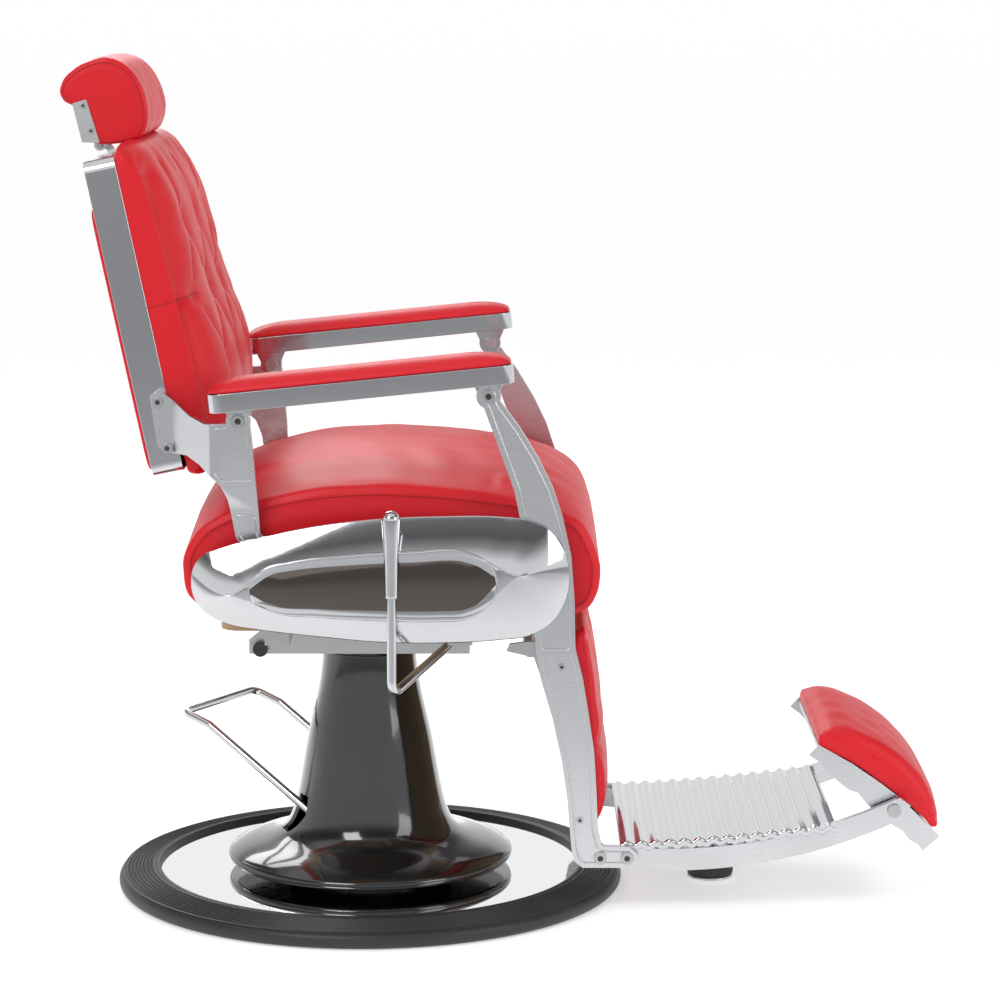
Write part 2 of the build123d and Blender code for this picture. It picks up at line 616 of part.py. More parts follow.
with BuildPart() as back_frame:
    with BuildSketch(BACK_FACE):
        with Locations((0, BACK_LENGTH / 2)):
            RectangleRounded(2 * BACK_HALF_WIDTH, BACK_LENGTH, 14.0)
    extrude(amount=BACK_DEPTH)
    with BuildSketch(BACK_FACE.offset(BACK_WALL)):
        with Locations((0, BACK_LENGTH / 2)):
            RectangleRounded(2 * (BACK_HALF_WIDTH - BACK_WALL), BACK_LENGTH - 2 * BACK_WALL, 11.0)
    extrude(amount=BACK_DEPTH, mode=Mode.SUBTRACT)
    with BuildSketch(BACK_BASE.offset(BACK_LENGTH - 10.0)):
        with Locations((BAR_DEPTH + BAR_THICKNESS / 2, 0)):
            Rectangle(BAR_THICKNESS + 2 * BAR_HOLE, 2 * (BAR_HALF_WIDTH + BAR_HOLE))
    extrude(amount=20.0, mode=Mode.SUBTRACT)
save(back_frame, "back_frame")

with BuildPart() as back_rear_panel:
    with BuildSketch(BACK_FACE.offset(-5.0)):
        with Locations((0, BACK_LENGTH / 2)):
            RectangleRounded(2 * BACK_HALF_WIDTH - 24.0, BACK_LENGTH - 24.0, 10.0)
    extrude(amount=5.0)
save(back_rear_panel, "back_rear_panel")

with BuildPart() as headrest_guide:
    with BuildSketch(BACK_BASE.offset(BACK_LENGTH - 175.0)):
        with Locations((BACK_WALL + 5.0, 0)):
            Rectangle(10.0, 2 * BAR_HALF_WIDTH + 12.0)
        with Locations((BAR_DEPTH + BAR_THICKNESS / 2, 0)):
            Rectangle(BAR_THICKNESS + 0.2, 2 * BAR_HALF_WIDTH + 0.2, mode=Mode.SUBTRACT)
    extrude(amount=160.0)
save(headrest_guide, "headrest_guide")

with BuildPart() as back_cushion:
    with BuildSketch(BACK_SIDE.offset(-BACK_HALF_WIDTH + 4.0)):
        with BuildLine():
            Polyline((BACK_DEPTH + SLACK, 386.0), (BACK_DEPTH + SLACK, -4.0))
            ThreePointArc((BACK_DEPTH + SLACK, -4.0), (54.0, -14.0), (92.0, 12.0))
            ThreePointArc((92.0, 12.0), (125.0, 92.0), (117.0, 200.0))
            ThreePointArc((117.0, 200.0), (112.5, 290.0), (84.0, 384.0))
            ThreePointArc((84.0, 384.0), (62.0, 394.0), (BACK_DEPTH + SLACK, 386.0))
        make_face()
    extrude(amount=2 * (BACK_HALF_WIDTH - 4.0))
    fillet(back_cushion.faces().sort_by(Axis.Y)[0].edges().group_by(Axis.X)[-1], radius=14.0)
    fillet(back_cushion.faces().sort_by(Axis.Y)[-1].edges().group_by(Axis.X)[-1], radius=14.0)
    with BuildSketch(BACK_FACE.offset(16.0)):
        with Locations((0, BACK_LENGTH / 2)):
            RectangleRounded(2 * (BACK_HALF_WIDTH - BACK_WALL - SLACK), BACK_LENGTH - 2 * BACK_WALL - 1.0, 11.0)
    extrude(amount=BACK_DEPTH - 15.0)
save(back_cushion, "back_cushion")

BRACKET_UPPER = [
    (-239.0, 673.0), (-251.0, 664.0), (-242.0, 603.5), (-233.0, 596.0), (-206.0, 595.0), (-189.5, 586.0),
    (-164.0, 563.0), (-121.6, 563.0), (-124.0, 592.0), (-128.0, 638.0), (-142.0, 641.0), (-155.0, 637.0),
    (-183.0, 636.0), (-202.0, 643.0), (-230.5, 665.0),
]
BRACKET_LOWER = [
    (-164.0, 563.0), (-156.0, 545.0), (-147.0, 497.0), (-103.0, 442.0), (-70.0, 457.0),
    (-118.0, 503.0), (-121.6, 563.0),
]
BRACKET_THICKNESS = 11.0
FLARE_PATH = [(-256.0, -240.0), (-221.0, -240.0), (-171.0, -POST_NEAR), (-100.0, -POST_NEAR)]
CREASE_HEIGHT = 563.0

with BuildPart() as bracket_arm:
    outline_plate(BRACKET_UPPER, 230.0, 310.0)
    pin_at(REAR_ARM_PIVOT, ARM_EYE_RADIUS, POST_NEAR, POST_FAR)
    with BuildSketch(Plane.XY.offset(CREASE_HEIGHT)) as flare:
        with BuildLine():
            Polyline(*FLARE_PATH, (-100.0, -POST_FAR), (-176.0, -POST_FAR),
                     (-223.5, -252.0), (-256.0, -252.0), close=True)
        make_face()
    extrude(flare.sketch, amount=120.0, mode=Mode.INTERSECT)

with BuildPart() as bracket_leg:
    outline_plate(BRACKET_LOWER, 270.0, 310.0)
    pin_at(RECLINE_PIVOT, EYE_RADIUS, LOWER_BRACKET_NEAR, LOWER_BRACKET_FAR)
    with BuildSketch(Plane.YZ.offset(-200.0)) as joggle:
        with BuildLine():
            Polyline((-POST_NEAR, CREASE_HEIGHT), (-POST_FAR, CREASE_HEIGHT), (-LOWER_BRACKET_FAR, 530.0),
                     (-LOWER_BRACKET_FAR, 400.0), (-LOWER_BRACKET_NEAR, 400.0),
                     (-LOWER_BRACKET_NEAR, 532.0), close=True)
        make_face()
    extrude(joggle.sketch, amount=200.0, mode=Mode.INTERSECT)

BRACKET_SCREW_PLACES = ((-243.4 + 2.0, 657.0), (-231.9 + 1.0, 601.5))
BRACKET_SCREW_RADIUS = 4.0

with BuildPart() as right_back_bracket:
    add(bracket_arm.part)
    add(bracket_leg.part)
    bore_at(RECLINE_PIVOT, PIVOT_PIN_RADIUS + RUNNING_FIT, 260.0, 300.0)
    bore_at(REAR_ARM_PIVOT, ARM_PIN_RADIUS, POST_NEAR, POST_FAR)
    for place in BRACKET_SCREW_PLACES:
        bore_at(place, BRACKET_SCREW_RADIUS, 239.0, 260.0)
save(right_back_bracket, "right_back_bracket")

with BuildPart() as left_back_bracket:
    mirror(right_back_bracket.part, about=Plane.XZ)
save(left_back_bracket, "left_back_bracket")

with BuildPart() as right_bracket_screws:
    for place in BRACKET_SCREW_PLACES:
        pin_at(place, BRACKET_SCREW_RADIUS, BACK_HALF_WIDTH, 252.0)
        pin_at(place, BRACKET_SCREW_RADIUS + 2.5, 252.0, 255.0)
with BuildPart() as bracket_screws:
    pair_of(right_bracket_screws)
save(bracket_screws, "bracket_screws")

# ------------------------------------------------------------------------ headrest

BAR_BOTTOM = BACK_LENGTH - 170.0
BAR_TOP = BACK_LENGTH + 2.0
KNUCKLE_RADIUS = 7.0
KNUCKLE_HALF = 14.0
HEADREST_PIN_RADIUS = 4.0

with BuildPart() as headrest_bar:
    with BuildSketch(BACK_BASE.offset(BAR_BOTTOM)):
        with Locations((BAR_DEPTH + BAR_THICKNESS / 2, 0)):
            Rectangle(BAR_THICKNESS, 2 * BAR_HALF_WIDTH)
    extrude(amount=BAR_TOP - BAR_BOTTOM)
    outline_plate([(-323.4, 944.4), (-317.5, 945.6), (-325.0, 955.0), (-337.0, 952.0)], -KNUCKLE_HALF, KNUCKLE_HALF)
    pin_at(HEADREST_PIVOT, KNUCKLE_RADIUS, -KNUCKLE_HALF, KNUCKLE_HALF)
    bore_at(HEADREST_PIVOT, HEADREST_PIN_RADIUS + RUNNING_FIT, -20.0, 20.0)
save(headrest_bar, "headrest_bar")

STRIP_OUTLINE = [(-343.0, 959.5), (-322.0, 958.5), (-322.0, 961.5), (-343.0, 962.5)]
SIDE_STRAP = [(-354.0, 1006.5), (-337.0, 1011.5), (-322.0, 961.5), (-322.0, 958.5), (-343.0, 959.5)]
STRAP_THICKNESS = 2.5
HEADREST_SCREWS = ((-340.6, 1004.0), (-331.5, 973.4))

with BuildPart() as headrest_bracket:
    outline_plate(STRIP_OUTLINE, -HEADREST_HALF_WIDTH - STRAP_THICKNESS, HEADREST_HALF_WIDTH + STRAP_THICKNESS)
    for near in (-HEADREST_HALF_WIDTH - STRAP_THICKNESS, HEADREST_HALF_WIDTH):
        outline_plate(SIDE_STRAP, near, near + STRAP_THICKNESS)
    for near in (-KNUCKLE_HALF - SLACK - 4.0, KNUCKLE_HALF + SLACK):
        pin_at(HEADREST_PIVOT, KNUCKLE_RADIUS, near, near + 4.0)
        outline_plate([(-340.0, 949.0), (-324.0, 949.0), (-325.0, 960.0), (-339.0, 960.0)], near, near + 4.0)
    bore_at(HEADREST_PIVOT, HEADREST_PIN_RADIUS, -25.0, 25.0)
save(headrest_bracket, "headrest_bracket")

with BuildPart() as headrest_pin:
    pin_at(HEADREST_PIVOT, HEADREST_PIN_RADIUS, -KNUCKLE_HALF - 7.0, KNUCKLE_HALF + 7.0)
save(headrest_pin, "headrest_pin")

with BuildPart() as headrest_screws:
    for place in HEADREST_SCREWS:
        for near in (-HEADREST_HALF_WIDTH - STRAP_THICKNESS - 1.5, HEADREST_HALF_WIDTH + STRAP_THICKNESS):
            pin_at(place, 4.0, near, near + 1.5)
save(headrest_screws, "headrest_screws")

with BuildPart() as headrest_cushion:
    with BuildSketch(side_plane(-HEADREST_HALF_WIDTH)):
        with BuildLine():
            ThreePointArc((-364.0, 1010.0), (-355.0, 1046.0), (-314.0, 1062.0))
            ThreePointArc((-314.0, 1062.0), (-282.0, 1048.0), (-263.0, 1000.0))
            ThreePointArc((-263.0, 1000.0), (-274.0, 971.0), (-318.0, 962.0))
            Polyline((-318.0, 962.0), (-338.0, 963.5), (-352.0, 1003.0), (-364.0, 1010.0))
        make_face()
    extrude(amount=2 * HEADREST_HALF_WIDTH)
save(headrest_cushion, "headrest_cushion")

# ------------------------------------------------------------------------ armrests

ARM_NEAR = ARM_CENTRE - ARM_HALF_WIDTH
ARM_FAR = ARM_CENTRE + ARM_HALF_WIDTH
ARM_REAR = (-174.0, 653.5)     # lower rear and front corners of the rail
ARM_FRONT = (185.0, 690.0)
ARM_SLOPE = (ARM_FRONT[1] - ARM_REAR[1]) / (ARM_FRONT[0] - ARM_REAR[0])
ARM_LENGTH = sqrt((ARM_FRONT[0] - ARM_REAR[0]) ** 2 + (ARM_FRONT[1] - ARM_REAR[1]) ** 2)
ARM_UNDERSIDE = Plane(
    ((ARM_REAR[0] + ARM_FRONT[0]) / 2, -ARM_CENTRE, (ARM_REAR[1] + ARM_FRONT[1]) / 2),
    x_dir=(1, 0, ARM_SLOPE), z_dir=(-ARM_SLOPE, 0, 1))
PAD_THICKNESS = 16.0
LUG_NEAR = 280.0
LUG_FAR = POST_NEAR - SLACK

with BuildPart() as right_arm_rail:
    with BuildSketch(ARM_UNDERSIDE):
        RectangleRounded(ARM_LENGTH, 2 * ARM_HALF_WIDTH, 18.0)
    extrude(amount=ARM_RAIL_HEIGHT)
    outline_plate([(-152.0, 636.0), (-132.0, 636.0), (-120.0, 664.0), (-164.0, 659.0)], LUG_NEAR, LUG_FAR)
    pin_at(REAR_ARM_PIVOT, ARM_EYE_RADIUS, LUG_NEAR, LUG_FAR)
    outline_plate([(144.5, 666.0), (164.5, 666.0), (176.0, 693.0), (132.0, 690.0)], LUG_NEAR, LUG_FAR)
    pin_at(FRONT_ARM_PIVOT, ARM_EYE_RADIUS, LUG_NEAR, LUG_FAR)
    for place in (REAR_ARM_PIVOT, FRONT_ARM_PIVOT):
        bore_at(place, ARM_PIN_RADIUS + RUNNING_FIT, LUG_NEAR, LUG_FAR)
save(right_arm_rail, "right_arm_rail")

with BuildPart() as right_arm_pad:
    with BuildSketch(ARM_UNDERSIDE.offset(ARM_RAIL_HEIGHT)):
        RectangleRounded(ARM_LENGTH - 4.0, 2 * ARM_HALF_WIDTH - 4.0, 17.0)
    extrude(amount=PAD_THICKNESS)
    fillet(right_arm_pad.edges().group_by(Axis.Z)[-1], radius=6.0)
save(right_arm_pad, "right_arm_pad")

for source, name in ((right_arm_rail, "left_arm_rail"), (right_arm_pad, "left_arm_pad")):
    with BuildPart() as left_piece:
        mirror(source.part, about=Plane.XZ)
    save(left_piece, name)

for place, name in ((REAR_ARM_PIVOT, "rear_arm_pins"), (FRONT_ARM_PIVOT, "front_arm_pins")):
    with BuildPart() as right_arm_pin:
        pin_at(place, ARM_PIN_RADIUS, LUG_NEAR - 1.0, POST_FAR)
        pin_at(place, ARM_PIN_RADIUS + 3.0, POST_FAR, POST_FAR + 2.5)
        pin_at(place, ARM_PIN_RADIUS + 3.0, LUG_NEAR - 3.5, LUG_NEAR - SLACK)
    with BuildPart() as arm_pins:
        pair_of(right_arm_pin)
    save(arm_pins, name)

# ----------------------------------------------------------------------- leg frame

POST_OUTLINE = [
    (149.0, 656.0), (165.0, 612.0), (185.0, 557.0), (192.0, 522.0), (192.0, 455.0), (211.0, 372.0),
    (258.0, 372.0), (257.0, 424.0), (253.0, 478.0), (242.6, 525.0), (231.0, 560.0), (214.0, 595.0),
    (191.0, 633.0), (169.0, 663.0),
]
BAND_BOTTOM = 358.0
BAND_TOP = 372.0
PANEL_OUTLINE = [
    (211.0, BAND_TOP), (211.0, 352.0), (212.5, 336.0), (218.0, 302.0), (233.0, 251.0), (245.0, 195.5),
    (252.0, 147.0), (257.0, 85.5), (261.0, 68.0), (271.0, 60.0), (333.5, 60.0), (341.0, 66.0),
    (341.0, 76.0), (329.0, 87.0), (302.0, 87.0), (295.0, 88.0), (290.0, 110.0), (288.0, 159.0),
    (285.0, 208.0), (278.0, 256.0), (270.5, 302.0), (262.0, 336.0), (258.0, BAND_TOP),
]
RAIL_BOLT_PLACES = ((293.3, 72.5), (326.7, 72.5))
RAIL_BOLT_RADIUS = 4.5
PANEL_SCREW_PLACES = ((244.4, 316.0), (267.6, 121.0))
PANEL_SCREW_RADIUS = 3.0

with BuildPart() as right_leg_frame:
    outline_plate(POST_OUTLINE, POST_NEAR, POST_FAR)
    pin_at(FRONT_ARM_PIVOT, ARM_EYE_RADIUS, POST_NEAR, POST_FAR)
    pin_at(LEG_PIVOT, EYE_RADIUS + 2.0, POST_NEAR, POST_FAR)
    outline_plate([(211.0, BAND_BOTTOM), (258.0, BAND_BOTTOM), (258.0, BAND_TOP), (211.0, BAND_TOP)],
                  PANEL_NEAR, POST_FAR)
    outline_plate(PANEL_OUTLINE, PANEL_NEAR, PANEL_FAR)
    bore_at(LEG_PIVOT, PIVOT_PIN_RADIUS + RUNNING_FIT, POST_NEAR, POST_FAR)
    bore_at(FRONT_ARM_PIVOT, ARM_PIN_RADIUS, POST_NEAR, POST_FAR)
    for place in RAIL_BOLT_PLACES:
        bore_at(place, RAIL_BOLT_RADIUS, PANEL_NEAR, PANEL_FAR)
    for place in PANEL_SCREW_PLACES:
        bore_at(place, PANEL_SCREW_RADIUS, PANEL_NEAR, PANEL_FAR)
save(right_leg_frame, "right_leg_frame")

with BuildPart() as left_leg_frame:
    mirror(right_leg_frame.part, about=Plane.XZ)
save(left_leg_frame, "left_leg_frame")

with BuildPart() as leg_board:
    outline_plate([(252.0, 356.0), (259.0, 356.0), (277.0, 98.0), (270.0, 98.0)], -PANEL_NEAR, PANEL_NEAR)
save(leg_board, "leg_board")

with BuildPart() as calf_pad:
    with BuildSketch(side_plane(-PANEL_NEAR + 2.0)):
        with BuildLine():
            Line((277.0, 102.0), (259.5, 353.0))
            ThreePointArc((259.5, 353.0), (274.0, 362.0), (284.0, 346.0))
            ThreePointArc((284.0, 346.0), (299.0, 240.0), (306.0, 160.0))
            ThreePointArc((306.0, 160.0), (299.0, 120.0), (277.0, 102.0))
        make_face()
    extrude(amount=2 * (PANEL_NEAR - 2.0))
save(calf_pad, "calf_pad")

CRANK_TUBE_PLACE = (205.0, 333.0)
CRANK_TUBE_RADIUS = 8.0
GUSSET_NEAR = 152.0
GUSSET_OUTLINE = [
    (176.0, 334.0), (180.0, 343.0), (202.0, 346.0), (226.0, 346.0), (232.0, 300.0), (219.0, 300.0), (210.0, 326.0),
]
LUG_SIDES = (-LOCK_SIDE - 14.0, -LOCK_SIDE + 9.0)
LUG_THICKNESS = 5.0

with BuildPart() as leg_crank:
    for near in (-PANEL_NEAR, GUSSET_NEAR):
        outline_plate(GUSSET_OUTLINE, near, near + PANEL_NEAR - GUSSET_NEAR)
    pin_at(CRANK_TUBE_PLACE, CRANK_TUBE_RADIUS, -GUSSET_NEAR, GUSSET_NEAR)
    for near in LUG_SIDES:
        outline_plate([(160.0, 337.0), (205.0, 325.0), (207.0, 341.0), (172.0, 368.0)], near, near + LUG_THICKNESS)
    SLOT_MIDDLE = (SLOT_REACH + LOCK_DROP) / 2
    SLOT_PLACE = (LEG_PIVOT[0] - SLOT_MIDDLE * sin(HALF_SWING), LEG_PIVOT[1] - SLOT_MIDDLE * cos(HALF_SWING))
    SLOT_RUN = SLOT_REACH - LOCK_DROP + 1.0
    with BuildSketch(side_plane(LUG_SIDES[0])) as lug_end:
        with Locations(Location(SLOT_PLACE, 90.0 - RECLINE_RANGE / 2)):
            SlotCenterToCenter(SLOT_RUN, 2 * (SLOT_HALF_WIDTH + 6.0))
    extrude(lug_end.sketch, amount=LUG_THICKNESS)
    extrude(Pos(0, LUG_SIDES[0] - LUG_SIDES[1], 0) * lug_end.sketch, amount=LUG_THICKNESS)
    with BuildSketch(side_plane(LUG_SIDES[0])) as lug_slot:
        with Locations(Location(SLOT_PLACE, 90.0 - RECLINE_RANGE / 2)):
            SlotCenterToCenter(SLOT_RUN, 2 * SLOT_HALF_WIDTH)
    extrude(lug_slot.sketch, amount=LUG_SIDES[1] - LUG_SIDES[0] + LUG_THICKNESS, mode=Mode.SUBTRACT)
save(leg_crank, "leg_crank")

# ------------------------------------------------------------------------ footrest

SHAFT_RADIUS = 5.0

with BuildPart() as right_foot_rail:
    with BuildSketch(side_plane(RAIL_NEAR)):
        with BuildLine():
            Polyline((345.0, 83.0), (282.0, 84.0), (282.0, 62.0), (345.0, 55.0))
            ThreePointArc((345.0, 55.0), (530.0, 71.0), (657.0, 114.0))
            Polyline((657.0, 114.0), (681.0, 137.0), (667.0, 147.5))
            ThreePointArc((667.0, 147.5), (514.0, 96.0), (345.0, 83.0))
        make_face()
    extrude(amount=PANEL_NEAR - RAIL_NEAR)
    bore_at(PAD_PIVOT, SHAFT_RADIUS + RUNNING_FIT, RAIL_NEAR, PANEL_NEAR)
    for place in RAIL_BOLT_PLACES:
        bore_at(place, RAIL_BOLT_RADIUS, RAIL_NEAR, PANEL_NEAR)
with BuildPart() as foot_rails:
    pair_of(right_foot_rail)
save(foot_rails, "foot_rails")

with BuildPart() as right_rail_bolts:
    for place in RAIL_BOLT_PLACES:
        pin_at(place, RAIL_BOLT_RADIUS, RAIL_NEAR, PANEL_FAR)
        pin_at(place, RAIL_BOLT_RADIUS + 3.5, PANEL_FAR, PANEL_FAR + 3.0)
        pin_at(place, RAIL_BOLT_RADIUS + 3.0, RAIL_NEAR - 5.0, RAIL_NEAR)
    for place in PANEL_SCREW_PLACES:
        pin_at(place, PANEL_SCREW_RADIUS, PANEL_NEAR, PANEL_FAR)
        pin_at(place, PANEL_SCREW_RADIUS + 1.5, PANEL_FAR, PANEL_FAR + 1.5)
with BuildPart() as footrest_bolts:
    pair_of(right_rail_bolts)
save(footrest_bolts, "footrest_bolts")

WAVE_COUNT = 15
WAVE_HEIGHT = 2.5
SHEET_THICKNESS = 2.0
PLATE_START = 318.0
PLATE_END = 588.0
PLATE_RISE = 24.0
PLATE_HEIGHT = 88.0


def plate_height(x):
    """Height of the foot plate's middle surface, rising gently towards the front."""
    run = (x - PLATE_START) / (PLATE_END - PLATE_START)
    return PLATE_HEIGHT + PLATE_RISE * run ** 1.6


def wave_points(shift):
    """Crests and troughs of one face of the corrugated plate, shifted in height."""
    points = []
    for step in range(2 * WAVE_COUNT + 1):
        x = PLATE_START + (PLATE_END - PLATE_START) * step / (2 * WAVE_COUNT)
        side = 1 if step % 2 else -1
        points.append((x, plate_height(x) + side * WAVE_HEIGHT + shift))
    return points


with BuildPart() as foot_plate:
    with BuildSketch(side_plane(-FOOT_PLATE_HALF)):
        top = wave_points(SHEET_THICKNESS)
        bottom = wave_points(0)
        with BuildLine():
            Spline(*top)
            Spline(*bottom)
            Line(top[0], bottom[0])
            Line(top[-1], bottom[-1])
        make_face()
    extrude(amount=2 * FOOT_PLATE_HALF)
save(foot_plate, "foot_plate")

FOOT_BAR_PLACES = ((350.0, 80.0), (441.0, 84.0), (540.0, 96.5))
FOOT_BAR_WIDTH = 26.0
FOOT_BAR_THICKNESS = 4.0
BUMPER_PLACE = (441.0, 0.0)
BUMPER_RADIUS = 30.0
BUMPER_BOTTOM = 4.0

with BuildPart() as foot_cross_bars:
    for x, top_height in FOOT_BAR_PLACES:
        with BuildSketch(Plane.XY.offset(top_height - FOOT_BAR_THICKNESS)):
            with Locations((x, 0)):
                Rectangle(FOOT_BAR_WIDTH, 2 * RAIL_NEAR)
        extrude(amount=FOOT_BAR_THICKNESS)
save(foot_cross_bars, "foot_cross_bars")

with BuildPart() as bumper_foot:
    with BuildSketch(Plane.XY.offset(BUMPER_BOTTOM)):
        with Locations(BUMPER_PLACE):
            Circle(BUMPER_RADIUS)
    extrude(amount=20.0)
    with BuildSketch(Plane.XY.offset(BUMPER_BOTTOM + 20.0)):
        with Locations(BUMPER_PLACE):
            Circle(9.0)
    extrude(amount=FOOT_BAR_PLACES[1][1] - FOOT_BAR_THICKNESS - BUMPER_BOTTOM - 20.0)
    fillet(bumper_foot.edges().group_by(Axis.Z)[0], radius=3.0)
save(bumper_foot, "bumper_foot")

# ------------------------------------------------------------------------- footpad

PAD_SIDE_OUTLINE = [
    (567.0, 211.0), (609.0, 187.0), (645.0, 162.0), (671.0, 142.0), (717.0, 96.5), (719.0, 93.0),
    (699.0, 75.0), (692.0, 84.0), (681.0, 90.0), (673.0, 101.0), (662.0, 107.0), (644.0, 121.0), (635.0, 128.0),
    (625.0, 139.0), (616.0, 150.0), (604.0, 154.0), (592.0, 164.0), (579.0, 176.0), (568.0, 188.5),
    (555.0, 198.0),
]
PAD_DECK_OUTLINE = [
    (567.0, 208.0), (609.0, 184.0), (645.0, 159.0), (671.0, 139.0), (716.0, 93.0), (713.0, 90.0),
    (668.5, 136.0), (642.5, 156.0), (607.0, 180.5), (565.0, 204.5),
]

with BuildPart() as footpad_frame:
    for near in (-PAD_SIDE_FAR, PAD_SIDE_NEAR):
        outline_plate(PAD_SIDE_OUTLINE, near, near + PAD_SIDE_FAR - PAD_SIDE_NEAR)
    outline_plate(PAD_DECK_OUTLINE, -PAD_SIDE_NEAR, PAD_SIDE_NEAR)
    bore_at(PAD_PIVOT, SHAFT_RADIUS, -PAD_SIDE_FAR, PAD_SIDE_FAR)
save(footpad_frame, "footpad_frame")

with BuildPart() as footpad_shaft:
    pin_at(PAD_PIVOT, SHAFT_RADIUS, -PANEL_NEAR - 1.0, PANEL_NEAR + 1.0)
    for near in (-PANEL_NEAR - 4.0, PANEL_NEAR + SLACK):
        pin_at(PAD_PIVOT, SHAFT_RADIUS + 3.5, near, near + 4.0 - SLACK)
save(footpad_shaft, "footpad_shaft")

with BuildPart() as footpad_cushion:
    with BuildSketch(side_plane(-PAD_SIDE_NEAR)):
        with BuildLine():
            Polyline((567.5, 211.5), (609.0, 187.5), (645.0, 162.5), (671.0, 142.5), (719.0, 94.0), (726.0, 76.0))
            Line((726.0, 76.0), (738.0, 74.0))
            ThreePointArc((738.0, 74.0), (690.0, 177.0), (590.0, 246.0))
            ThreePointArc((590.0, 246.0), (572.0, 238.0), (567.5, 211.5))
        make_face()
    extrude(amount=2 * PAD_SIDE_NEAR)
save(footpad_cushion, "footpad_cushion")
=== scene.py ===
import json
import logging
import math
from dataclasses import dataclass
from enum import Enum
from typing import Callable

import bmesh
import bpy
import numpy as np
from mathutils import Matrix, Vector
from mathutils.bvhtree import BVHTree


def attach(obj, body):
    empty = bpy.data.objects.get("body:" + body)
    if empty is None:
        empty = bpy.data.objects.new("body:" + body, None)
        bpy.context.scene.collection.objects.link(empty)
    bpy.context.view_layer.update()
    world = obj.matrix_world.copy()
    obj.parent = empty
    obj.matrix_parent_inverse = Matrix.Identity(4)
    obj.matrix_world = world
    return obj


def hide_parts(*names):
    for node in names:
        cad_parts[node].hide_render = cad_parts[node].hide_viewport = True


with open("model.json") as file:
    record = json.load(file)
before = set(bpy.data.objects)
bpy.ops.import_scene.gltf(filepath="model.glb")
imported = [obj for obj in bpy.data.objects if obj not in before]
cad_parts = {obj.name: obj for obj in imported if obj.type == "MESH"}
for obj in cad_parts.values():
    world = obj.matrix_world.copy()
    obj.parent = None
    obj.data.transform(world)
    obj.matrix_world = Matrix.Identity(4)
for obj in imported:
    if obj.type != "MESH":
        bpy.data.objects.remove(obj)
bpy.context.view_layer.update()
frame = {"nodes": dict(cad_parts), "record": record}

log = logging.getLogger("barber_chair")
MM = 0.001
SEED = 7
SIDE_STEPS = 15          # rings over each side panel of a pad
DOUBLED = 0.00001        # corners of a CAD node closer than this many metres are one
TINY = 1e-9              # keeps a length of nothing from dividing by zero


class Side(Enum):
    """Sides of the chair by the sign of Y."""

    RIGHT = -1
    LEFT = 1

    @property
    def label(self) -> str:
        """Word used in piece names."""
        return self.name.lower()


# ------------------------------------------------------------------ shader expressions

class Wire:
    """A socket of a node tree that can be used in arithmetic; each operation adds a Math node."""

    def __init__(self, tree: bpy.types.NodeTree, socket: bpy.types.NodeSocket) -> None:
        """Wrap one output socket of a tree."""
        self.tree, self.socket = tree, socket

    def _math(self, operation: str, *values: "Wire | float") -> "Wire":
        """Add a Math node.

        Args:
            operation: what the node works out.
            values: wires or numbers, in the order of the node's inputs.
        Returns:
            The node's output.
        """
        node = self.tree.nodes.new("ShaderNodeMath")
        node.operation = operation
        for place, value in zip(node.inputs, values):
            if isinstance(value, Wire):
                self.tree.links.new(value.socket, place)
            else:
                place.default_value = value
        return Wire(self.tree, node.outputs[0])

    def __add__(self, other: "Wire | float") -> "Wire":
        """Sum."""
        return self._math("ADD", self, other)

    def __radd__(self, other: float) -> "Wire":
        """Sum, reflected."""
        return self._math("ADD", other, self)

    def __mul__(self, other: "Wire | float") -> "Wire":
        """Product."""
        return self._math("MULTIPLY", self, other)

    def __rmul__(self, other: float) -> "Wire":
        """Product, reflected."""
        return self._math("MULTIPLY", other, self)


class Nodes:
    """A node tree that is added to by the type of node."""

    def __init__(self, tree: bpy.types.NodeTree) -> None:
        """Keep the tree."""
        self.tree = tree

    def feed(self, socket: bpy.types.NodeSocket, value: "Wire | float | tuple") -> None:
        """Link a wire to a socket, or set the socket's own value.

        Args:
            socket: the input to feed.
            value: a wire, or the value itself.
        """
        if isinstance(value, Wire):
            self.tree.links.new(value.socket, socket)
        else:
            socket.default_value = value

    def node(self, kind: str, out: "str | int" = 0, settings: "dict | None" = None,
             **inputs: "Wire | float | tuple") -> Wire:
        """Add any node.

        Args:
            kind: the node's type.
            out: the output to return.
            settings: node properties, set before the sockets; "stops" are a ramp's places and shades.
            inputs: values or wires by socket name, spaces written as underscores, or by _number.
        Returns:
            The chosen output.
        """
        node = self.tree.nodes.new(kind)
        for key, value in (settings or {}).items():
            if key == "stops":
                for index, (position, shade) in enumerate(value):
                    ramp = node.color_ramp.elements
                    stop = ramp[index] if index < len(ramp) else ramp.new(position)
                    stop.position = position
                    stop.color = shade if isinstance(shade, tuple) else (shade, shade, shade, 1)
            else:
                setattr(node, key, value)
        for key, value in inputs.items():
            name = int(key[1:]) if key[0] == "_" else key.replace("_", " ")
            self.feed(node.inputs[name], value)
        return Wire(self.tree, node.outputs[out])

    def ramp(self, value: Wire, *stops: "tuple[float, float | tuple]") -> Wire:
        """Colour ramp over a value."""
        return self.node("ShaderNodeValToRGB", 0, {"stops": stops}, Fac=value)


